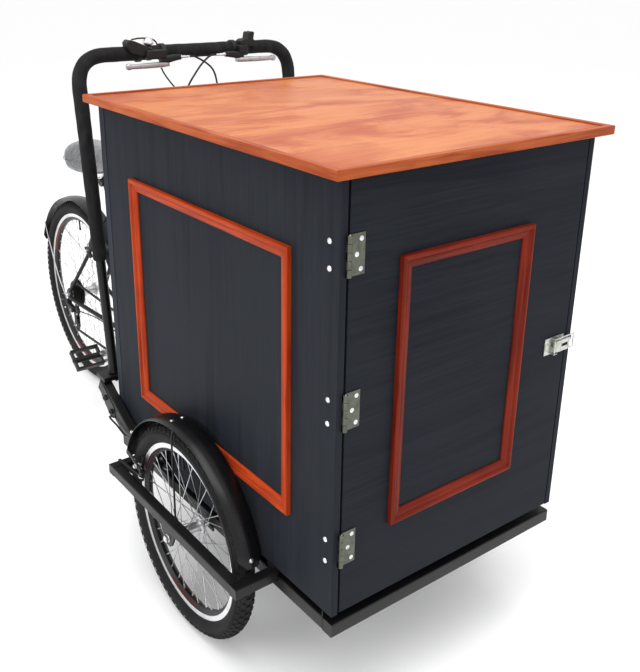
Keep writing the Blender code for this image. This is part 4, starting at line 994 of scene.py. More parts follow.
def build_side_frames():
    """Rail round each front wheel, dropout, axle, brake bosses and the slanted push-bar mount."""
    for hand, side in HANDS.items():
        node = "side_frame_" + hand
        wheel = AT["wheel_%s_spin" % hand]
        rail_x = 0.4135
        y0, y1 = P(0, -0.273, 0).y, P(0, 0.31, 0).y
        z0, z1 = 0.277, 0.302
        mid = (z0 + z1) / 2
        form = Form()
        t = 0.025
        for y in (y0 + t / 2, y1 - t / 2):
            square_tube(form, (side * (BASE_X + 0.0004), y, mid), (side * (rail_x + t / 2), y, mid), size=t)
        square_tube(form, (side * rail_x, y0 + t - 0.001, mid), (side * rail_x, y1 - t + 0.001, mid),
            size=t)
        for y in (y0 + t, y1 - t):
            weld_bead(form, [(side * (rail_x - t / 2), y, z1), (side * (rail_x + t / 2), y, z1)], 0.0014)
            for z in (z0, z1):
                weld_bead(form,
                    [(side * (BASE_X + 0.002), y - t / 2, z), (side * (BASE_X + 0.002), y + t / 2, z)],
                    0.002)
        face = abs(wheel.x) + 0.0503
        drop = [(-0.04, z0 + 0.01), (-0.017, 0.241), (-0.009, 0.2345), (0.009, 0.2345), (0.017, 0.241),
            (0.04, z0 + 0.01)]
        form.plate([(side * face, wheel.y + y, z) for y, z in drop], (side * 0.005, 0, 0), 0.0009)
        make("side_rail_" + hand, form, PAINT, "chassis", node)

        axle = Form().disc(0.005, side * (abs(wheel.x) - 0.05), side * (abs(wheel.x) + 0.0645),
            (0, wheel.y, wheel.z), "X", 18)
        make("front_axle_" + hand, axle, BRIGHT, "chassis")
        spots = [(V(side * (face + 0.0048), wheel.y, wheel.z), (side, 0, 0))]
        set_out("front_axle_nut_" + hand, axle_nut(0.0068), BRIGHT, "chassis", spots)

        stay = Form()
        foot = P(side * (BOX_X + 0.0155), 0.51, 0.4203)
        toe = P(side * (BOX_X + 0.0155), 0.302, 0.305)
        stay.bar([toe, foot], rounded(0.025, 0.042, 0.0026))
        stay.block(P(side * 0.29, 0.476, MOUNT_TOP - 0.0123),
            P(side * (BOX_X + 0.0275), 0.526, MOUNT_TOP - 0.0004), 0.0014)
        gusset = [P(side * (BOX_X + 0.0275), y, z)
            for y, z in mm((498, 434.5), (424, 385), (420, 356), (452, 350), (498, 392))]
        stay.plate(gusset, (side * 0.0022, 0, 0), 0.0006)
        weld_bead(stay, [P(side * (BOX_X + 0.004), 0.3, 0.303), P(side * (BOX_X + 0.027), 0.3, 0.303)])
        make("push_bar_mount_" + hand, stay, PAINT, "chassis")
        bosses = Form()
        for reach in (-1, 1):
            stud = wheel + BRAKE_OUT * 0.176 + V(side * reach * FRONT_ARMS, 0, 0)
            root = V(stud.x, y1 - 0.008, z1 + 0.001)
            bosses.bar([stud + V(0, -0.006, 0.001), root], rounded(0.007, 0.014, 0.0015))
            bosses.tube([stud - BRAKE_ROUND * 0.002, stud + BRAKE_ROUND * 0.0175], 0.0034, 14)
        make("brake_bosses_" + hand, bosses, PAINT, "chassis")
        spots = [(P(side * (BOX_X + 0.0297), y, z), (side, 0, 0))
            for y, z in ((0.47, 0.395), (0.438, 0.368))]
        set_out("mount_bolts_" + hand, nut(0.0075, 0.005, 0.004), DARK_BOLT, "chassis", spots)


def rim_profile(track, depth):
    """Half a rim's section, from the hook down to the crown, as (radius, x)."""
    return [(track - 0.0008, 0.0098), (track + 0.0008, 0.0108), (track + 0.0004, 0.0119),
        (track - 0.0116, 0.0113), (track - 0.0135, 0.01), (track - depth * 0.72, 0.0078),
        (track - depth + 0.0012, 0.005), (track - depth, 0.003)]


def build_wheel(tag, body, track, depth, flanges, count=36):
    """Tyre with knobs, rim with its brake tracks, crossed spokes with nipples, and the valve."""
    centre = AT[body + "_spin"]
    radius = ends_of("tyre_" + tag)[1].z - centre.z
    half = rim_profile(track, depth)
    floor = [(track - 0.0075, -0.006), (track - 0.0085, 0.0), (track - 0.0075, 0.006)]
    section = half + [(r, -x) for r, x in reversed(half)] + floor
    rim = Form().spun(section, centre, "X", 96)
    make("rim_hoop_" + tag, rim, RIM_BLACK, body, "rim_" + tag)
    for side in (-1, 1):
        band = [(track + 0.0003, side * 0.0113), (track + 0.0003, side * 0.01225),
            (track - 0.0112, side * 0.01165), (track - 0.0112, side * 0.011)]
        make("brake_track_%s_%s" % (tag, "outer" if side < 0 else "inner"),
            Form().spun(band, centre, "X", 96), BRAKE_TRACK, body)
    for number, start in enumerate((0.35, 2.45, 4.55)):
        bands = Form()
        for side in (-1, 1):
            rings = []
            for k in range(13):
                out = outward(start + 0.62 * k / 12)
                a, b = track - 0.015, track - depth * 0.72
                rings.append([centre + out * r + V(side * x, 0, 0)
                    for r, x in ((a, 0.01), (a, 0.0104), (b, 0.0084), (b, 0.0078))])
            bands.skin(rings)
        make("rim_red_band_%s_%d" % (tag, number + 1), bands, RED_PRINT, body)

    middle = (radius + track) / 2 - 0.0025
    casing = []
    for k in range(27):
        t = radians(-128 + 256 * k / 26)
        casing.append((middle + (radius - middle - 0.0032) * cos(t), 0.0238 * sin(t)))
    casing = [(track - 0.003, -0.0092), *casing, (track - 0.003, 0.0092)]
    casing = [(max(r, track + 0.0012) if abs(x) > 0.0095 else r, x) for r, x in casing]
    tyre = Form().spun(casing, centre, "X", 120)
    for side in (-1, 1):
        for r, x in ((track + 0.009, 0.0196), (track + 0.0125, 0.0216), (radius - 0.0165, 0.0242)):
            tyre.spun([(r - 0.0007, side * (x - 0.0008)), (r, side * (x + 0.0004)),
                (r + 0.0007, side * (x - 0.0008))], centre, "X", 96)
    make("tyre_casing_" + tag, tyre, TYRE, body, "tyre_" + tag)
    row = Form()
    knobs = ((0.0, 0.0048, 0.0066, 0.0), (0.0112, 0.0042, 0.0058, 0.5), (-0.0112, 0.0042, 0.0058, 0.5),
        (0.0192, 0.003, 0.006, 0.0), (-0.0192, 0.003, 0.006, 0.0))
    rows = round(2 * pi * radius / 0.0225)
    for x, wide, long, later in knobs:
        t = 2 * pi / rows * later
        lean = x / 0.0238
        rise = sqrt(1 - lean * lean)
        out = V(lean, cos(t) * rise, sin(t) * rise)
        onward = turning(t)
        side = out.cross(onward)
        foot = centre + outward(t) * (middle + (radius - middle - 0.0036) * rise) + V(x * 0.96, 0, 0)
        tall = 0.0036 if abs(x) < 0.0192 else 0.003
        rings = []
        for height, grow in ((-0.0006, 1.12), (tall - 0.0006, 0.96), (tall - 0.0001, 0.86)):
            rings.append([foot + out * height + side * wide * grow * a + onward * long * grow * b
                for a, b in ((1, 0.8), (0.8, 1), (-0.8, 1), (-1, 0.8), (-1, -0.8), (-0.8, -1), (0.8, -1),
                (1, -0.8))])
        row.skin(rings)
    ring_of("tyre_knobs_" + tag, row, TYRE, body, centre, rows, angle=30)

    inner = track - depth
    crossing = radians(58)
    spokes, nipples = Form(), Form()
    for k, (flange, lean) in enumerate(((flanges[0], 1), (flanges[1], 1), (flanges[0], -1),
            (flanges[1], -1))):
        t = 2 * pi / count * k
        hub_t = t + lean * crossing
        root = centre + V(flange + 0.0016 * lean, cos(hub_t) * 0.0195, sin(hub_t) * 0.0195)
        out = outward(t)
        tip = centre + out * (inner - 0.0005) + V(flange * 0.05, 0, 0)
        spokes.tube([root, root.lerp(tip, 0.5), tip], 0.001, 6, 0)
        aim = (tip - root).normalized()
        nipples.tube([tip - aim * 0.0115, tip - aim * 0.0015, tip + aim * 0.0012], [0.0016, 0.0019, 0.0024],
            8, 0.0003)
        spokes.tube([root - V(0.0028 * lean, 0, 0), root], 0.0017, 8, 0.0004)
    ring_of("spokes_" + tag, spokes, SPOKE_STEEL, body, centre, count // 4)
    ring_of("spoke_nipples_" + tag, nipples, SPOKE_STEEL, body, centre, count // 4)
    out = outward(2 * pi / count * 0.5 + 2 * pi / (count // 4) * 2)
    start = centre + out * (inner + 0.004)
    stem = Form().tube([start, start - out * 0.03, start - out * 0.0305, start - out * 0.04],
        [0.003, 0.003, 0.004, 0.0038], 14)
    make("tyre_valve_" + tag, stem, PLASTIC, body)
    return centre


def front_hub(tag, body):
    """A small turned hub shell with two drilled flanges."""
    centre = AT[body + "_spin"]
    profile = mm((5.4, -48.8), (8.2, -48.8), (8.8, -48), (8.8, -35), (13.5, -33), (15, -31.2),
        (22.2, -30.2), (22.6, -29.5), (22.6, -28), (22.2, -27.3), (15, -26.2), (12, -22.5), (11.2, -12),
        (11, 0))
    whole = profile + [(r, -x) for r, x in reversed(profile[:-1])]
    make("hub_shell_" + tag, Form().spun(whole, centre, "X", 40), ALLOY, body, "hub_" + tag)
    cones = Form()
    for side in (-1, 1):
        cones.spun([(0.0053, side * 0.0489), (0.0072, side * 0.0489), (0.008, side * 0.0494),
            (0.0053, side * 0.0497)], centre, "X", 20)
    make("hub_cones_" + tag, cones, DARK_BOLT, "chassis")


def arched_guard(centre, radius, half, start, end, crown, steps=64, lip=0.0016):
    """A pressed mudguard: arched section, rolled lips and a shallow centre rib."""
    outside = [(-half, -0.0006), (-half - 0.0004, 0.0006), (-half * 0.93, 0.002)]
    for k in range(9):
        s = -0.8 + 1.6 * k / 8
        rib = 0.0009 * max(0.0, 1 - abs(s) / 0.22)
        outside.append((half * s, crown * (1 - abs(s) ** 2.4) + 0.0012 + rib))
    outside += [(half * 0.93, 0.002), (half + 0.0004, 0.0006), (half, -0.0006)]
    inside = [(x * 0.965, max(lift - lip, -0.0004)) for x, lift in reversed(outside[1:-1])]
    rings = []
    for i in range(steps + 1):
        t = start + (end - start) * i / steps
        ease = 1 - 0.35 * max(0.0, 1 - min(i, steps - i) / 2.0)
        out = outward(t)
        rings.append([centre + out * (radius + lift) + V(x * ease, 0, 0) for x, lift in outside + inside])
    return Form().skin(rings)


def build_front_guards():
    """Front mudguards with stays, clips and bolts."""
    for hand, side in HANDS.items():
        wheel = AT["wheel_%s_spin" % hand]
        guard = arched_guard(wheel, 0.266, 0.0285, radians(15), radians(167), 0.006)
        make("front_mudguard_" + hand, guard, GUARD_PAINT, "chassis", "mudguard_" + hand)
        x, y = side * (abs(wheel.x) + 0.0315), wheel.y + 0.004
        knee = V(side * (abs(wheel.x) + 0.0262), y, wheel.z + 0.268)
        stay = Form().tube(bent([(x, y, 0.281), (x, y, wheel.z + 0.248), knee], 0.02, 5), 0.0023, 12)
        stay.block((x - 0.004, y - 0.008, 0.2795), (x + 0.004, y + 0.008, 0.294), 0.001)
        make("mudguard_stay_" + hand, stay, PAINT, "chassis")
        bolts = []
        for lean, across in ((82.5, -0.012), (82.5, 0.0145), (163.5, -0.002)):
            out = outward(radians(lean))
            lift = 0.006 * (1 - (abs(across) / 0.0285) ** 2.4)
            bolts.append((wheel + out * (0.2676 + lift) + V(-side * across, 0, 0), out))
        set_out("mudguard_bolts_" + hand, dome_bolt(0.004, 0.0022, 0.0052), BRIGHT, "chassis", bolts)


def brake_arm(name, node, centre, radial, tangent, sign, track, spread, length):
    """A linear-pull brake arm: waisted blade, boss, spring, post with washers, and its pad."""
    across = V(sign, 0, 0)
    lift = tangent * 0.0135
    pivot = centre + radial * (track - 0.033) + across * spread + lift
    path = [pivot + radial * r for r in (-0.006, 0.01, length * 0.45, length - 0.012, length)]
    rings = []
    widths = (0.0075, 0.0078, 0.0058, 0.005, 0.0032)
    for point, wide in zip(flow(path, 3), [a + (b - a) * k / 4 for a, b in zip(widths, widths[1:])
            for k in range(4)] + [widths[-1]]):
        rings.append([point + tangent * a * wide + across * b * 0.0027 for a, b in rounded(2, 2, 0.7)])
    blade = Form().skin(rings)
    start, end = -0.0085, 0.01
    stance = Matrix.Translation(pivot) @ facing(tangent)
    boss = Form().spun([(0.0041, start), (0.0072, start), (0.0076, start + 0.0008), (0.0076, end - 0.0008),
        (0.007, end), (0.0041, end)], (0, 0, 0), "Z", 24)
    blade.add(boss, stance)
    make(name, blade, ARM_BLACK, node, node)
    spring = Form()
    coil = [V(0.0086 * cos(t), 0.0086 * sin(t), -0.0078 + 0.0011 * t / (2 * pi))
        for t in (2 * pi * k / 14 for k in range(29))]
    up_end = stance.inverted() @ (pivot + radial * 0.045 + tangent * 0.006)
    spring.tube([*coil, coil[-1].lerp(up_end, 0.5), up_end], 0.0007, 6, 0)
    make(name + "_spring", Form().add(spring, stance), SPOKE_STEEL, node)
    middle = centre + radial * (track - 0.006) + lift
    post = Form().tube([middle + across * 0.0195, middle + across * (spread + 0.004)], 0.0027, 14)
    for reach, size, deep in ((spread - 0.0052, 0.0066, 0.0022), (spread + 0.0032, 0.0062, 0.0022),
            (spread + 0.0055, 0.0048, 0.004)):
        here = Matrix.Translation(middle + across * reach) @ facing(across)
        post.add(Form().disc(size, 0, deep, (0, 0, 0), "Z", 16 if size > 0.005 else 6, 0.0004), here)
    make(name + "_pad_post", post, BRIGHT, node)
    rings = []
    for k in range(9):
        s = -1 + 2 * k / 8
        thin = 1 - 0.16 * abs(s) ** 4
        place = middle + tangent * (0.0245 * s)
        rings.append([place + across * x + radial * r * thin
            for x, r in mm((15, 3.6), (21, 4.2), (23.2, 3), (23.2, -3), (21, -4.2), (15, -3.6))])
    make(name + "_pad", Form().skin(rings), PAD_RUBBER, node)


def build_front_brakes():
    """A pair of arms at each front wheel."""
    for hand, side in HANDS.items():
        centre = AT["wheel_%s_spin" % hand]
        for reach, place in ((-1, "inner"), (1, "outer")):
            node = "brake_arm_%s_%s" % (place, hand)
            brake_arm("front_brake_arm_%s_%s" % (place, hand), node, centre, BRAKE_OUT, BRAKE_ROUND,
                side * reach, FRONT_TRACK, FRONT_ARMS, 0.08)


# Push bar, controls and cables

BAR_LEAN = radians(6.0)
BAR_X, BAR_FOOT = 0.312, P(0, 0.5, MOUNT_TOP)
BAR_TOP_Z = 1.253
BAR_TOP_Y = BAR_FOOT.y + (BAR_TOP_Z - BAR_FOOT.z) * tan(BAR_LEAN)
SLEEVE_LOW_Z = 0.752


def on_bar(x, along):
    """A point in the leaning plane of the push bar."""
    return V(x, BAR_FOOT.y + along * sin(BAR_LEAN), BAR_FOOT.z + along * cos(BAR_LEAN))


def bar_line(start):
    """The push bar's centre line from the right leg over to the left."""
    top = (BAR_TOP_Z - BAR_FOOT.z) / cos(BAR_LEAN)
    corners = [on_bar(-BAR_X, start), on_bar(-BAR_X, top), on_bar(BAR_X, top), on_bar(BAR_X, start)]
    return bent(corners, 0.075, 12)


def build_push_bar():
    """Bent tube with welded feet and two bolts, under a foam sleeve."""
    tube_form = Form().tube(bar_line(0.002), 0.0125, 28)
    for side in (-1, 1):
        foot = on_bar(side * BAR_X, 0.0022)
        ring = [foot + V(0.0128 * cos(t), 0.0128 * sin(t), 0.001) for t in (*turns(16), 2 * pi)]
        weld_bead(tube_form, ring, 0.0017)
    make("push_bar_tube", tube_form, PAINT, "chassis", "handlebar")
    start = (SLEEVE_LOW_Z - BAR_FOOT.z) / cos(BAR_LEAN)
    path = bar_line(start)
    dense = []
    for a, b in zip(path, path[1:]):
        count = max(1, int((b - a).length / 0.012))
        dense += [a.lerp(b, k / count) for k in range(count)]
    dense.append(path[-1])
    radii = [0.0178 + 0.00022 * sin(k * 1.7) + 0.00018 * sin(k * 0.43) for k in range(len(dense))]
    radii[0] = radii[-1] = 0.0168
    sleeve = Form().tube(dense, radii, 28, 0.0012)
    make("foam_grip_sleeve", sleeve, FOAM, "chassis", "handlebar_sleeve")
    bolts = [(P(side * BAR_X, 0.4865, MOUNT_TOP - 0.0123), (0, 0, -1)) for side in (-1, 1)]
    set_out("push_bar_foot_bolts", nut(0.007, 0.0052, 0.0035), DARK_BOLT, "chassis", bolts)


OVAL = rounded(1.0, 1.0, 0.32, 4)


def shell(stations):
    """A lofted moulding of oval section, through (point, width, height) stations."""
    form, rings = Form(), []
    for i, (point, wide, tall) in enumerate(stations):
        ahead = Vector(stations[min(i + 1, len(stations) - 1)][0]) - Vector(point)
        behind = Vector(point) - Vector(stations[max(i - 1, 0)][0])
        along = (ahead + behind).normalized()
        side = along.cross(V(0, 0, 1)).normalized()
        top = side.cross(along).normalized()
        rings.append([Vector(point) + side * a * wide + top * b * tall for a, b in OVAL])
    return form.skin(rings)


POD_OUTLINES = {"right": mm((-190, 1281), (-182, 1288.5), (-168, 1285), (-146, 1276), (-112, 1261.5),
    (-112, 1253), (-150, 1250), (-178, 1257), (-188, 1269)),
    "left": mm((142, 1258), (142, 1272), (150, 1277), (164, 1278), (167, 1293.5), (173, 1296), (176, 1286),
    (179, 1296.5), (185, 1294), (182, 1277), (189, 1269), (189, 1258))}


def build_controls():
    """Bar clamps, angular shifter pods, levers with barrel adjusters, and a bell."""
    front = BAR_TOP_Y - 0.018
    lever_y = front - 0.011
    for hand, (side, pod_x, pivot_x) in {"right": (-1, 0.15, 0.088), "left": (1, 0.168, 0.135)}.items():
        clamp = Form()
        for x in (pod_x, pivot_x - 0.006):
            clamp.spun([(0.0184, side * x - 0.0065), (0.0212, side * x - 0.006), (0.0216, side * x - 0.004),
                (0.0216, side * x + 0.004), (0.0212, side * x + 0.006), (0.0184, side * x + 0.0065)],
                (0, BAR_TOP_Y, BAR_TOP_Z), "X", 32)
        clamp.block((side * (pod_x - 0.01), front - 0.02, 1.2405),
            (side * (pivot_x - 0.0025), front - 0.002, 1.262), 0.003, 3)
        make("bar_clamps_" + hand, clamp, PLASTIC, "chassis", "control_" + hand)
        pod = Form().plate([(x, lever_y, z) for x, z in POD_OUTLINES[hand]], (0, 0.03, 0), 0.0022, 2)
        make("shifter_pod_" + hand, pod, PLASTIC, "chassis")
        paddle = shell([((side * (pod_x + out), front + back, z), wide, tall) for out, back, z, wide,
            tall in ((0.002, 0.026, 1.274, 0.008, 0.006), (0.012, 0.034, 1.27, 0.01, 0.005),
            (0.024, 0.037, 1.269, 0.012, 0.005))])
        make("shift_paddle_" + hand, paddle, PLASTIC, "chassis")
        bracket = shell([((side * (pivot_x + out), lever_y, z), wide, tall) for out, z, wide,
            tall in ((-0.044, 1.2412, 0.012, 0.013), (-0.028, 1.2408, 0.015, 0.0165),
            (-0.008, 1.238, 0.016, 0.019), (0.011, 1.2365, 0.013, 0.015))])
        make("brake_bracket_" + hand, bracket, PLASTIC, "chassis")
        barrel = Form()
        x0 = side * (pivot_x - 0.043)
        barrel.spun([(0.003, x0), (0.0046, x0), (0.0046, x0 - side * 0.006), (0.0038, x0 - side * 0.007),
            (0.0038, x0 - side * 0.0165), (0.003, x0 - side * 0.0195)], (0, lever_y, 1.241), "X", 20)
        for t in turns(10):
            at = V(0, lever_y + 0.0046 * cos(t), 1.241 + 0.0046 * sin(t))
            barrel.tube([at + V(x0, 0, 0), at + V(x0 - side * 0.0058, 0, 0)], 0.0006, 6, 0)
        make("barrel_adjuster_" + hand, barrel, BRIGHT, "chassis")

        pivot = AT["brake_lever_%s_pull" % hand]
        sections = mm((-10, 0, 11, 11), (4, -0.5, 15, 13), (18, -3, 13.5, 13.5), (40, -5.5, 11, 13.5),
            (62, -8.5, 9.5, 13), (84, -10, 8.5, 12), (96, -8.5, 8, 11.5), (100, -7.5, 12, 15),
            (106.5, -7, 12.5, 15.5), (111, -6.5, 8, 10))
        blade = shell([(pivot + V(side * a, b, -0.0003), wide, tall) for a, b, wide, tall in sections])
        make("brake_lever_blade_" + hand, blade, LEVER_ALLOY, "brake_lever_" + hand, "brake_lever_" + hand)
        screw = Form().disc(0.0036, pivot.z + 0.005, pivot.z + 0.0068, (pivot.x, pivot.y, 0), "Z", 18,
            0.0005)
        make("lever_pivot_screw_" + hand, screw, BRIGHT, "brake_lever_" + hand)
    bell_at = V(-0.118, BAR_TOP_Y + 0.001, BAR_TOP_Z)
    bell = Form().spun(mm((0, 18.5), (10, 19), (13.2, 21.5), (13.8, 25), (12.8, 30), (9, 34.5), (4, 36.2),
        (0, 36.6)), bell_at, "Z", 32, closed=False)
    make("bell_dome", bell, BRIGHT, "chassis")
    strap = Form().spun([(0.0183, bell_at.x - 0.004), (0.0197, bell_at.x - 0.004),
        (0.0197, bell_at.x + 0.004), (0.0183, bell_at.x + 0.004)], (0, bell_at.y, bell_at.z), "X", 28)
    make("bell_strap", strap, PLASTIC, "chassis")


def cable_route(side, pivot_x):
    """A front brake cable: off the lever, over behind the box, down and round to the wheel."""
    back = 0.461
    start = side * (pivot_x - 0.0632)
    barrel = 0.5668
    behind = 0.01 if side < 0 else 0.0
    return [P(*p)
        for p in ((start, barrel - 0.0111, 1.241), (start - side * 0.03, barrel - 0.0111 + behind / 2,
        1.238), (start - side * 0.075, barrel - 0.0231 + behind, 1.205),
        (-side * 0.052, 0.52 + behind, 1.15), (-side * 0.05, 0.495 + behind, 1.08),
        (-side * 0.03, back + 0.01 + behind, 0.96), (side * 0.035, back + behind, 0.76),
        (side * 0.055, back, 0.56), (side * 0.06, back, 0.38), (side * 0.09, back, 0.318),
        (side * 0.18, back, 0.3), (side * 0.29, back + 0.004, 0.303), (side * 0.33, 0.47, 0.328),
        (side * 0.3565, 0.446, 0.349), (side * 0.3575, 0.4, 0.345), (side * 0.358, 0.35, 0.338),
        (side * 0.3585, 0.322, 0.355), (side * 0.362, 0.304, 0.374))]


def run_cable(name, body, route, radius, *nodes, ferrules=(True, True)):
    """Cable housing along its route, with a metal ferrule at each end that enters something."""
    path = flow(route, 6)
    make(name, Form().tube(path, radius, 12, 0.0004), HOUSING, body, *nodes)
    caps = Form()
    for wanted, points in zip(ferrules, (path[:3], path[:-4:-1])):
        if wanted:
            caps.tube([points[0], points[0].lerp(points[2], 0.98)], radius + 0.0007, 14)
    if any(ferrules):
        make(name + "_ferrules", caps, BRIGHT, body)


def build_cables():
    """Front brake cables and the front length of the gear cable."""
    for hand, (side, pivot_x) in {"right": (-1, 0.088), "left": (1, 0.135)}.items():
        run_cable("front_brake_cable_" + hand, "chassis", cable_route(side, pivot_x), 0.0025,
            "brake_cable_" + hand)
    inner, y = -0.1765, 0.5848
    route = [(inner, y - 0.002, 1.285), (inner + 0.04, y, 1.289), (inner + 0.08, y + 0.01, 1.282),
        (inner + 0.1, y + 0.026, 1.258), (inner + 0.108, y + 0.02, 1.2), (-0.01, 0.572, 1.1),
        (0.0, 0.545, 0.98), (0.0, 0.53, 0.8), (0.0, 0.522, 0.65), (0.0, 0.531, 0.54), (0.0, 0.535, 0.5),
        (0.0, 0.535, 0.475)]
    run_cable("gear_cable_front", "chassis", [P(*p) for p in route], 0.002, "gear_cable",
        ferrules=(True, False))


# The rider's half

SEAT_ANGLE = radians(68.5)
BB = AT["crank_turn"]
REAR = AT["rear_wheel_spin"]
STEER = AT["steering"]
STAY_LEAN = atan2(0.68 - REAR.z, (BB.y + (0.68 - BB.z) / tan(SEAT_ANGLE)) - REAR.y)


def on_seat_tube(z):
    """Centre of the seat tube at a height."""
    return V(0, BB.y + (z - BB.z) / tan(SEAT_ANGLE), z)


def round_weld(form, centre, axis, radius, bead=0.0018, steps=26):
    """A weld right round a tube's end."""
    turn = facing(axis)
    points = [centre + turn @ V(radius * cos(t), radius * sin(t), 0)
        for t in (2 * pi * k / steps for k in range(steps + 1))]
    return form.tube(points, [bead * (1 if k % 2 else 0.8) for k in range(steps + 1)], 8, 0)


def tapered(form, points, radius, loss):
    """A stay through points, thinner by a loss at its far end."""
    path = flow(points, 5)
    return form.tube(path, [radius - loss * k / len(path) for k in range(len(path))], 18)


def build_rear_frame():
    """Head tube with cups, two main tubes, seat tube and collar, stays, brake bosses and dropouts."""
    seat_dir = outward(SEAT_ANGLE)
    head_low, head_top = 0.3065, 0.4375
    form = Form()
    form.spun([(0.0172, head_low), (0.025, head_low), (0.0255, head_low + 0.001),
        (0.0255, head_low + 0.011), (0.0235, head_low + 0.013), (0.0235, head_top - 0.013),
        (0.0255, head_top - 0.011), (0.0255, head_top - 0.001), (0.025, head_top), (0.0172, head_top)],
        (0, STEER.y, 0), "Z", 40)
    main = [V(0, STEER.y + 0.02, head_low + 0.027), P(0, 0.75, 0.3), V(0, BB.y - 0.012, BB.z)]
    form.tube(flow(main, 6), 0.022, 28)
    top_a, top_b = V(0, STEER.y + 0.02, head_top - 0.0205), on_seat_tube(0.545)
    form.tube([top_a, top_b], 0.016, 24)
    form.tube([on_seat_tube(BB.z + 0.01), on_seat_tube(0.7145)], 0.0165, 28)
    form.disc(0.0215, -0.0342, 0.0342, (0, BB.y, BB.z), "X", 36, 0.001)
    round_weld(form, top_b - (top_b - top_a).normalized() * 0.02, top_b - top_a, 0.0165)
    round_weld(form, on_seat_tube(BB.z + 0.0225), seat_dir, 0.0172)
    round_weld(form, main[0] + V(0, 0.0045, 0), main[1] - main[0], 0.0222)
    round_weld(form, top_a + V(0, 0.0045, 0.001), top_b - top_a, 0.0164)
    cluster = on_seat_tube(0.68)
    tangent = turning(STAY_LEAN)
    for side in (-1, 1):
        drop = V(side * 0.0705, REAR.y, REAR.z)
        lower = [V(side * 0.02, BB.y + 0.008, BB.z + 0.002), V(side * 0.036, BB.y + 0.14, BB.z + 0.018),
            V(side * 0.068, REAR.y - 0.06, REAR.z - 0.012), drop + V(side * 0.002, -0.014, -0.003)]
        tapered(form, lower, 0.0088, 0.0022)
        middle = drop + (cluster - drop) * 0.55
        middle.x = side * 0.047
        upper = [cluster + V(side * 0.01, 0.002, 0), cluster + V(side * 0.04, 0.02, -0.028), middle,
            drop + V(0, -0.008, 0.012)]
        tapered(form, upper, 0.0077, 0.0014)
        outline = mm((-30, -12), (-20, -16.5), (-8, -20), (6, -19), (14, -14), (16.5, -2), (16, 8),
            (6, 19.5), (-4, 26), (-14, 27), (-22, 22))
        form.plate([(side * 0.0679, REAR.y + a, REAR.z + b) for a, b in outline], (side * 0.005, 0, 0),
            0.0009)
        stud = REAR + outward(STAY_LEAN) * (REAR_TRACK - 0.033) + V(side * REAR_ARMS, 0, 0)
        form.tube([stud + tangent * 0.018, stud - tangent * 0.0175], 0.0034, 14)
        form.tube([stud + tangent * 0.02, stud + tangent * 0.004], [0.006, 0.0072], 14)
    make("rear_frame_welded", form, PAINT, "rear", "rear_frame")
    collar_at = on_seat_tube(0.7065)
    collar = Form().add(Form().spun(mm((16.9, -7.5), (19.6, -7), (20, -6), (20, 4.5), (19, 6.2),
        (16.9, 6.6)), (0, 0, 0), "Z", 32), Matrix.Translation(collar_at) @ facing(seat_dir))
    collar.block(collar_at + V(-0.0055, 0.016, -0.013), collar_at + V(0.0055, 0.03, 0.0015), 0.0014)
    make("seat_collar", collar, PAINT, "rear")
    bolt = Form().disc(0.003, -0.0125, 0.0125, collar_at + V(0, 0.0245, -0.006), "X", 14)
    bolt.disc(0.0048, 0.0058, 0.0105, collar_at + V(0, 0.0245, -0.006), "X", 18)
    make("seat_collar_bolt", bolt, BRIGHT, "rear")
    axle = Form().disc(0.005, -0.0822, 0.0822, REAR, "X", 18)
    make("rear_axle", axle, BRIGHT, "rear")
    set_out("rear_axle_nuts", axle_nut(0.006), BRIGHT, "rear",
        [(V(side * 0.0727, REAR.y, REAR.z), (side, 0, 0)) for side in (-1, 1)])
    cups = Form()
    for side in (-1, 1):
        cups.spun([(0.0126, side * 0.03), (0.0198, side * 0.0345), (0.0192, side * 0.0372),
            (0.0126, side * 0.0378)], BB, "X", 28)
    make("bottom_bracket_cups", cups, DARK_BOLT, "rear")


def build_rear_wheel():
    """Rear wheel, its hub, and the mudguard with reflector and wire stays."""
    centre = build_wheel("rear", "rear_wheel", REAR_TRACK, 0.024, (-0.0205, 0.0285))
    profile = mm((5.4, -66), (8.4, -66), (8.6, -62.2), (16, -61.3), (16.2, -60), (16.2, -25), (25.5, -22.6),
        (26.2, -22), (26.2, -19.8), (25.5, -19.2), (16.5, -17.5), (14, -12), (13.8, 18), (15, 25.2),
        (22.2, 27.2), (22.8, 27.8), (22.8, 30), (22.2, 30.8), (14.5, 32.5), (9.2, 36), (8.6, 64), (8, 66),
        (5.4, 66))
    make("hub_shell_rear", Form().spun(profile, centre, "X", 40), ALLOY, "rear_wheel", "hub_rear")

    guard = arched_guard(centre, 0.3425, 0.029, radians(20), radians(140), 0.0045)
    make("rear_mudguard_shell", guard, GUARD_PAINT, "rear", "rear_mudguard")
    at = centre + outward(radians(30)) * 0.354
    lamp = Form().block(at + V(-0.022, -0.006, -0.0145), at + V(0.022, 0.0045, 0.016), 0.0035, 3)
    lamp.block(at + V(-0.006, -0.012, -0.01), at + V(0.006, -0.002, 0.006), 0.001)
    make("reflector_housing", lamp, PLASTIC, "rear")
    glass = Form().block(at + V(-0.0195, 0.003, -0.012), at + V(0.0195, 0.0066, 0.0135), 0.0016)
    make("reflector_lens", glass, LENS, "rear")
    stays = Form()
    for side in (-1, 1):
        low = V(side * 0.0838, centre.y + 0.006, centre.z + 0.004)
        knee = centre + outward(radians(33)) * 0.3435 + V(side * 0.0287, 0, 0)
        stays.tube(flow([low, V(side * 0.072, centre.y + 0.095, centre.z + 0.064), knee], 6), 0.0019, 10)
        stays.disc(0.0052, side * 0.08, side * 0.0838, (0, low.y, low.z), "X", 16)
    make("rear_mudguard_stays", stays, BRIGHT, "rear")


def build_rear_brake():
    """Two arms on the seat stays."""
    for hand, side in HANDS.items():
        node = "brake_arm_rear_" + hand
        brake_arm("rear_brake_arm_" + hand, node, REAR, outward(STAY_LEAN), -turning(STAY_LEAN), side,
            REAR_TRACK, REAR_ARMS, 0.104)


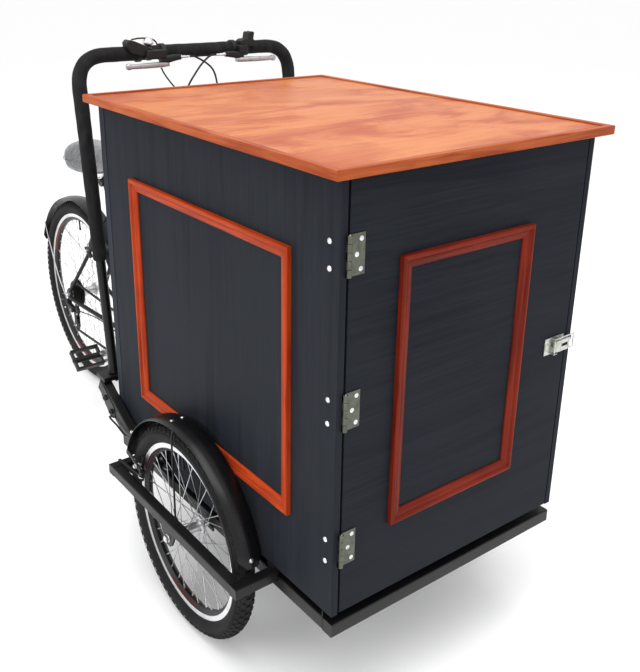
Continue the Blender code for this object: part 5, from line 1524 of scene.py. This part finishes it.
def build_seat():
    """Seatpost and clamp with its rails; the saddle is padded and comes from a cloth pass."""
    top = on_seat_tube(0.7895)
    post = Form().tube([on_seat_tube(0.625), top], 0.0135, 28)
    low, high = ends_of("saddle")
    mid_y = P(0, 1.195, 0).y
    clamp_y = top.y + 0.007
    post.disc(0.0165, -0.019, 0.019, (0, clamp_y, 0.787), "X", 28)
    make("seatpost_tube", post, PAINT, "seat", "seatpost")
    cradle = Form()
    for side in (-1, 1):
        rail = [V(side * 0.012, mid_y - 0.085, 0.846), V(side * 0.019, mid_y - 0.06, 0.822),
            V(side * 0.022, mid_y - 0.03, 0.8), V(side * 0.022, mid_y + 0.034, 0.795),
            V(side * 0.034, mid_y + 0.08, 0.812)]
        cradle.tube(flow(rail, 5), 0.0035, 12)
    make("saddle_rails", cradle, BRIGHT, "seat")
    grip = Form().block((-0.027, clamp_y - 0.016, 0.7895), (0.027, clamp_y + 0.016, 0.799), 0.003, 3)
    make("saddle_clamp", grip, DARK_BOLT, "seat")
    make_saddle(low, high, mid_y)


def make_saddle(low, high, mid_y):
    """A padded saddle: nose, flared wings and a dip, swelled under its cover and seamed."""
    outline = mm((-132, 12, 856, 880), (-118, 20, 842, 892), (-90, 26.5, 830, 898), (-50, 34, 818, 900),
        (-10, 46, 808, 900), (30, 62, 801, 901), (65, 80, 799, 904), (92, 86, 800, 905),
        (116, 80, 808, 904), (130, 55, 830, 890))
    rings = []
    for along, half, under, over in outline:
        ring = []
        for t in turns(28):
            x = half * cos(t)
            if sin(t) >= 0:
                z = (over + under) / 2 + (over - under) / 2 * abs(sin(t)) ** 0.8
                z -= 0.004 * max(0.0, 1 - abs(x) / 0.016) * (0.4 if along < -0.08 else 1.0)
            else:
                z = (over + under) / 2 - (over - under) / 2 * abs(sin(t)) ** 0.55
            ring.append(V(x, mid_y + along, z))
        rings.append(ring)
    data = Form().skin(rings).mesh("saddle_pad", VINYL, 60)
    pad = placed("saddle_pad", data)
    swell(pad, 0.005, 0.006)
    for vertex in pad.data.vertices:
        co = vertex.co
        vertex.co = [min(max(c, a + 0.0004), b - 0.0004) for c, a, b in zip(co, low, high)]
    smoother = pad.modifiers.new("round", "SUBSURF")
    smoother.levels = smoother.render_levels = 1
    final = evaluated(pad)
    bpy.data.objects.remove(pad)
    final.shade_smooth()
    final.materials.clear()
    final.materials.append(VINYL.material)
    saddle = settle("saddle_pad", final, "seat", ["saddle"])
    seam = [(along, half, (over + under) / 2 - 0.004) for along, half, under, over in outline]
    path = [V(side * (half + 0.001), mid_y + along, z) for side, part in ((-1, seam), (1, seam[::-1]))
        for along, half, z in part]
    path.append(path[0])
    piping = Form().tube(flow(path, 4), 0.0013, 8)
    for index, point in enumerate(piping.points):
        piping.points[index] = Vector([min(max(c, a + 0.0001), b - 0.0001) for c, a,
            b in zip(point, low - V(0.001, 0, 0), high + V(0.001, 0, 0))])
    make("saddle_piping", piping, VINYL, "seat")


def swell(pad, voxel, cap):
    """Blow a soft piece up a little as cloth, holding every point within cap of where it began."""
    remesh = pad.modifiers.new("even", "REMESH")
    remesh.mode, remesh.voxel_size = "VOXEL", voxel
    even = evaluated(pad)
    pad.modifiers.clear()
    pad.data = even
    start = [v.co.copy() for v in even.vertices]
    cloth = pad.modifiers.new("cloth", "CLOTH")
    cloth.settings.use_pressure = True
    cloth.settings.uniform_pressure_force = 4.0
    cloth.settings.effector_weights.gravity = 0.0
    cloth.point_cache.frame_start, cloth.point_cache.frame_end = 1, 20
    scene = bpy.context.scene
    for number in range(1, 21):
        scene.frame_set(number)
    grown = evaluated(pad)
    scene.frame_set(1)
    pad.modifiers.clear()
    pad.data = grown
    for vertex, home in zip(grown.vertices, start):
        move = vertex.co - home
        if move.length > cap:
            vertex.co = home + move * (cap / move.length)


# Drive

GUIDE = (REAR.y + 0.006, REAR.z - 0.066)
TENSION = (REAR.y + 0.004, REAR.z - 0.128)
CHAIN_X, PITCH = -0.045, 0.0127
RING_R, SPROCKET_R, PULLEY_R = 0.0765, 0.0365, 0.016


def arc(centre, radius, start, end, steps):
    """Points on an arc in the chain's plane, as (y, z)."""
    return [(centre[0] + radius * cos(start + (end - start) * k / steps),
        centre[1] + radius * sin(start + (end - start) * k / steps)) for k in range(steps + 1)]


def chain_path():
    """Middle of the chain: round the ring and the cassette, then in an S through the pulleys."""
    bb, axle = (BB.y, BB.z), (REAR.y, REAR.z)
    ring, sprocket, pulley = RING_R + 0.005, SPROCKET_R + 0.005, PULLEY_R + 0.0048
    rise = atan2(axle[1] - bb[1], axle[0] - bb[0])
    points = arc(axle, sprocket, radians(-71), rise + pi / 2 - 0.09, 16)
    points += arc(bb, ring, rise + pi / 2 - 0.09, 1.5 * pi - 0.02, 28)
    points += arc(TENSION, pulley, radians(-100), radians(42), 12)
    points += arc(GUIDE, pulley, radians(222), radians(109), 10)
    return [V(CHAIN_X, y, z) for y, z in points]


def build_chain():
    """Roller chain: outer and inner links, one after the other, at half an inch."""
    path = chain_path()
    path.append(path[0])
    total = sum((b - a).length for a, b in zip(path, path[1:]))
    links = round(total / PITCH / 2) * 2
    step = total / links
    spots, travelled, goal = [], 0.0, 0.0
    for a, b in zip(path, path[1:]):
        length = (b - a).length
        while goal <= travelled + length and len(spots) < links:
            spots.append(a.lerp(b, (goal - travelled) / length))
            goal += step
        travelled += length
    outer, inner = [], []
    for k, here in enumerate(spots):
        there = spots[(k + 1) % links]
        along = (there - here).normalized()
        turn = Matrix((V(1, 0, 0), along, V(1, 0, 0).cross(along))).transposed()
        (inner if k % 2 else outer).append(((here + there) / 2, turn))
    half = step / 2
    shapes = {}
    for name, x, tall in (("outer", 0.0029, 0.0036), ("inner", 0.0021, 0.0036)):
        link = Form()
        for side in (-1, 1):
            outline = []
            for sign in (1, -1):
                for t in (-60, -20, 20, 60):
                    outline.append((sign * half + sign * tall * cos(radians(t)),
                        tall * sin(radians(t)) * sign))
                outline.append((0, sign * tall * 0.62))
            link.plate([(side * x, a, b) for a, b in outline], (side * 0.0008, 0, 0), 0.00015, 1)
        for end in (-half, half):
            if name == "outer":
                link.spun(mm((0, -4), (1.4, -4), (1.7, -3.6), (1.7, 3.6), (1.4, 4), (0, 4)), (0, end, 0),
                    "X", 8, closed=False)
            else:
                link.spun(mm((0, -2), (3.7, -2), (3.7, 2), (0, 2)), (0, end, 0), "X", 10, closed=False)
        shapes[name] = link
    first = set_out("chain_outer_links", shapes["outer"], CHAIN, "rear", outer)
    set_out("chain_inner_links", shapes["inner"], CHAIN, "rear", inner)
    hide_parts("chain")


def toothed(form, centre, radius, teeth, x0, x1, hole, valley=0.004, phase=0.0):
    """A toothed ring: rounded teeth round a hole."""
    outline = []
    for k in range(teeth):
        for part, height in ((0.0, 0.0), (0.22, 0.1), (0.36, 0.72), (0.46, 1.0), (0.54, 1.0), (0.64, 0.72),
                (0.78, 0.1)):
            t = 2 * pi * (k + part) / teeth + phase
            r = radius - valley + valley * height * 1.15
            outline.append((r * cos(t), r * sin(t)))
    n = len(outline)
    inner = [(hole * cos(2 * pi * k / n + phase), hole * sin(2 * pi * k / n + phase)) for k in range(n)]
    rings = []
    for points, x in ((outline, x0), (outline, x1), (inner, x1), (inner, x0)):
        rings.append([V(centre[0] + x, centre[1] + a, centre[2] + b) for a, b in points])
    across = [[ring[k] for ring in rings] for k in range(n)]
    return form.skin(across, loop=True)


def build_crankset():
    """Forged arms, five-arm spider, toothed ring with bolts, guard disc and spindle."""
    turn = radians(-28.0)                # of the right-hand arm at rest
    body = Form()
    body.disc(0.0118, -0.078, 0.078, BB, "X", 24)
    for side, t in ((-1, turn), (1, turn + pi)):
        out = outward(t)
        onward = turning(t)
        stations = []
        for r, x, wide, thick in mm((-17, 71, 20, 14.5), (-8, 71.5, 30, 16), (10, 72, 29, 16),
                (30, 73, 20.5, 13.5), (85, 75.7, 19, 12), (145, 78.3, 21.5, 12), (165, 79.2, 25.5, 13),
                (178, 79.6, 20, 12.5), (182.5, 79.6, 12, 10.5)):
            stations.append((BB + out * r + V(side * x, 0, 0), wide, thick))
        rings = [[p + onward * a * wide + V(side, 0, 0) * b * thick for a, b in rounded(1, 1, 0.3, 4)]
            for p, wide, thick in stations]
        body.skin(rings)
    make("crank_arms", body, ALLOY, "crank", "crankset")
    ring = Form()
    toothed(ring, BB, RING_R + 0.0035, 40, CHAIN_X - 0.0011, CHAIN_X + 0.0011, 0.06, 0.0046)
    for t in turns(5):
        ring.bar([BB + outward(turn + t) * r + V(CHAIN_X - x, 0, 0)
            for r, x in ((0.012, 0.0045), (0.04, 0.0035), (0.064, 0.0022))], rounded(0.015, 0.0048, 0.0012),
            (1, 0, 0))
    ring.disc(0.024, CHAIN_X - 0.007, CHAIN_X + 0.0015, BB, "X", 32)
    make("toothed_ring_and_spider", ring, DARK_BOLT, "crank")
    bolts = [(BB + V(CHAIN_X - 0.0046, 0.062 * cos(turn + t), 0.062 * sin(turn + t)), (-1, 0, 0))
        for t in turns(5)]
    set_out("ring_bolts", dome_bolt(0.0042, 0.0016), BRIGHT, "crank", bolts)
    caps = [(BB + V(side * 0.0795, 0, 0), (side, 0, 0)) for side in (-1, 1)]
    set_out("spindle_bolts", nut(0.0075, 0.0048), BRIGHT, "crank", caps)
    pins = Form()
    for hand, side in HANDS.items():
        pedal = AT["pedal_%s_spin" % hand]
        pins.disc(0.0045, side * 0.079, side * 0.178, (0, pedal.y, pedal.z), "X", 18)
        pins.disc(0.0068, side * 0.086, side * 0.0872, (0, pedal.y, pedal.z), "X", 6)
    make("pedal_spindles", pins, BRIGHT, "crank")


PEDAL_TIP = radians(38)                 # the pedals hang tipped at rest


def build_pedals():
    """Platform pedals: a barrel with bearings, two windows, ribbed bars and reflectors."""
    for hand, side in HANDS.items():
        pin = AT["pedal_%s_spin" % hand]
        form = Form()
        x0, x1 = sorted((side * 0.0875, side * 0.186))
        form.spun([(0.0051, x0), (0.0095, x0), (0.01, x0 + 0.0008), (0.01, x1 - 0.0068),
            (0.0092, x1 - 0.006), (0.0051, x1 - 0.006)], (0, pin.y, pin.z), "X", 28)
        for a in (-1, 1):
            y0, y1 = sorted((pin.y + a * 0.0305, pin.y + a * 0.0378))
            form.block((x0 + 0.0002, y0, pin.z - 0.0105), (x1 - 0.0002, y1, pin.z + 0.0105), 0.0022, 3)
            for x in (x0, x1 - 0.0085):
                form.block((x + 0.0002, min(pin.y + a * 0.006, pin.y + a * 0.034), pin.z - 0.009),
                    (x + 0.0083, max(pin.y + a * 0.006, pin.y + a * 0.034), pin.z + 0.009), 0.0018, 2)
            for k in range(9):
                x = x0 + 0.012 + k * (x1 - x0 - 0.024) / 8
                for up in (-1, 1):
                    form.block((x - 0.0016, y0 + 0.0012, pin.z + up * 0.01),
                        (x + 0.0016, y1 - 0.0012, pin.z + up * 0.01195), 0.0004, 1)
        tip = Matrix.Translation(pin) @ Matrix.Rotation(PEDAL_TIP, 4, "X") @ Matrix.Translation(-pin)
        make("pedal_body_" + hand, Form().add(form, tip), PLASTIC, "pedal_" + hand, "pedal_" + hand)
        glow = Form()
        for a in (-1, 1):
            mid = (x0 + x1) / 2
            glow.block((mid - 0.02, pin.y + a * 0.0372, pin.z - 0.007),
                (mid + 0.02, pin.y + a * 0.03795, pin.z + 0.007), 0.0003, 1)
        make("pedal_reflectors_" + hand, Form().add(glow, tip), AMBER, "pedal_" + hand)


def build_cassette():
    """Seven toothed sprockets with spacers and a lock ring."""
    form = Form()
    sizes = [(0.0505, 28), (0.0445, 24), (0.04, 22), (0.0378, 20), (0.0335, 18), (0.03, 16), (0.0262, 14)]
    for k, (radius, teeth) in enumerate(sizes):
        x = CHAIN_X if k == 3 else -0.0312 - k * 0.0043
        toothed(form, REAR, radius, teeth, x - 0.0009, x + 0.0009, 0.0172, 0.0038, 0.1 * k)
    form.spun(mm((17.1, -30), (20.5, -30), (20.5, -59), (19, -59.8), (17.1, -59.8)), REAR, "X", 32)
    make("sprockets", form, CHAIN, "cassette", "cassette")


def build_derailleur():
    """Hanger bolt, parallelogram, cage with two toothed pulleys and a barrel adjuster."""
    form = Form()
    guide, tension = Vector((0, *GUIDE)), Vector((0, *TENSION))
    for x in (CHAIN_X - 0.0066, CHAIN_X + 0.0052):
        slim = 0.0016 if x < CHAIN_X else 0.0012
        outline = []
        for centre, start in ((guide, 0), (tension, 180)):
            for t in (start - 20, start + 25, start + 65, start + 90, start + 115, start + 155,
                    start + 200):
                outline.append((x, centre.y + 0.0115 * cos(radians(t)),
                    centre.z + 0.0115 * sin(radians(t))))
        form.plate(outline, (-slim, 0, 0), 0.0004, 1)
    body = [V(-0.0585, guide.y, guide.z + 0.006), V(-0.066, REAR.y + 0.016, REAR.z - 0.046),
        V(-0.071, REAR.y + 0.022, REAR.z - 0.032)]
    form.bar(body, rounded(0.022, 0.015, 0.004, 3), (-1, 0, 0))
    form.disc(0.0105, -0.0745, -0.058, (0, REAR.y + 0.02, REAR.z - 0.034), "X", 24)
    form.disc(0.0095, -0.066, -0.0515, (0, guide.y, guide.z), "X", 24)
    form.tube([V(-0.072, REAR.y + 0.03, REAR.z - 0.046), V(-0.0745, REAR.y + 0.036, REAR.z - 0.052)],
        0.0036, 14)
    make("derailleur_body", form, PLASTIC, "rear", "derailleur")
    wheels = Form()
    for centre in (guide, tension):
        toothed(wheels, (0, centre.y, centre.z), 0.0185, 11, CHAIN_X - 0.0011, CHAIN_X + 0.0011, 0.004,
            0.0036)
    make("pulleys", wheels, GREY_PLASTIC, "rear")
    bolts = [(V(CHAIN_X - 0.0082, centre.y, centre.z), (-1, 0, 0)) for centre in (guide, tension)]
    bolts.append((V(-0.0745, REAR.y + 0.02, REAR.z - 0.034), (-1, 0, 0)))
    set_out("derailleur_bolts", dome_bolt(0.004, 0.0018), BRIGHT, "rear", bolts)


def build_rear_cables():
    """The gear cable's rear length, with its clips."""
    under, beside = BB.z - 0.031, -0.0275
    route = [(beside, 0.541, 0.4), (beside - 0.002, 0.561, 0.365), (beside - 0.001, 0.615, 0.33),
        (beside, 0.72, 0.304), (beside, 0.85, 0.284), (-0.022, 0.925, under + 0.003), (-0.02, 0.975, under),
        (-0.022, 1.03, under + 0.006), (-0.03, 1.1, 0.276), (-0.046, 1.22, 0.292), (-0.082, 1.33, 0.3),
        (-0.089, 1.4, 0.314), (-0.087, 1.44, 0.3), (-0.079, 1.446, 0.28), (-0.075, 1.434, 0.27)]
    run_cable("gear_cable_rear", "rear", [P(*p) for p in route], 0.002, "rear_gear_cable")
    stops = Form()
    for x, y, z in ((-0.0255, 0.72, 0.3045), (-0.0255, 0.85, 0.2845)):
        stops.block(P(x - 0.0045, y - 0.005, z - 0.0035), P(x + 0.006, y + 0.005, z + 0.0035), 0.001)
    make("cable_clips", stops, PLASTIC, "rear")


# The stage

CAMERA_AT = V(-1.1736, -2.115, 1.481)
CAMERA_AZIMUTH, CAMERA_TILT, CAMERA_ROLL = radians(-37.472), radians(20.71), radians(0.755)
CAMERA_LENS, CAMERA_SHIFT = 46.93, (0.01198, -0.0689)


def build_stage():
    """A plain pale floor, one broad soft light from above, two softer ones, and the camera."""
    floor = bpy.data.meshes.new("studio_floor")
    reach = 40
    floor.from_pydata([(-reach, -reach, 0), (reach, -reach, 0), (reach, reach, 0), (-reach, reach, 0)], [],
        [(0, 1, 2, 3)])
    paper = Finish("pale_floor", "", (0.93, 0.93, 0.93), 0.8)
    paper.set("Roughness", paper.noise(3.0).ramp(0.2, 0.8, 0.7, 0.8))
    floor.materials.append(paper.material)
    placed("studio_floor", floor)

    world = bpy.data.worlds.new("studio")
    bpy.context.scene.world = world
    world.use_nodes = True
    plug(world.node_tree, world.node_tree.nodes["Background"].inputs["Color"], (1.0, 1.0, 1.0))
    world.node_tree.nodes["Background"].inputs["Strength"].default_value = 1.05
    for name, at, size, watts in (("light_above", (-0.6, -1.2, 4.2), 3.4, 130),
            ("light_side", (-4.4, -0.4, 2.4), 2.6, 70), ("light_front", (1.2, -5.0, 2.6), 2.8, 26)):
        data = bpy.data.lights.new(name, "AREA")
        data.shape, data.size, data.energy = "SQUARE", size, watts
        lamp = placed(name, data)
        lamp.location = at
        lamp.rotation_euler = (V(0, -0.4, 0.6) - Vector(at)).to_track_quat("-Z", "Y").to_euler()

    bpy.context.scene.view_settings.view_transform = "Standard"
    lens = bpy.data.cameras.new("camera")
    lens.lens, lens.sensor_width = CAMERA_LENS, 36.0
    lens.shift_x, lens.shift_y = CAMERA_SHIFT
    lens.clip_end = 60
    camera = placed("camera", lens)
    camera.rotation_euler = (Matrix.Rotation(CAMERA_AZIMUTH, 3, "Z") @ Matrix.Rotation(pi / 2 - CAMERA_TILT,
        3, "X") @ Matrix.Rotation(CAMERA_ROLL, 3, "Z")).to_euler()
    camera.location = CAMERA_AT
    bpy.context.scene.camera = camera

build_boards()
build_lid_edging()
build_mouldings()
build_hinges()
build_latch()
build_base()
build_side_frames()
for hand in HANDS:
    build_wheel(hand, "wheel_" + hand, FRONT_TRACK, 0.021, (-0.0285, 0.0285))
    front_hub(hand, "wheel_" + hand)
build_front_guards()
build_front_brakes()
build_push_bar()
build_controls()
build_cables()
build_rear_frame()
build_rear_wheel()
build_rear_brake()
build_seat()
build_chain()
build_crankset()
build_pedals()
build_cassette()
build_derailleur()
build_rear_cables()
build_stage()
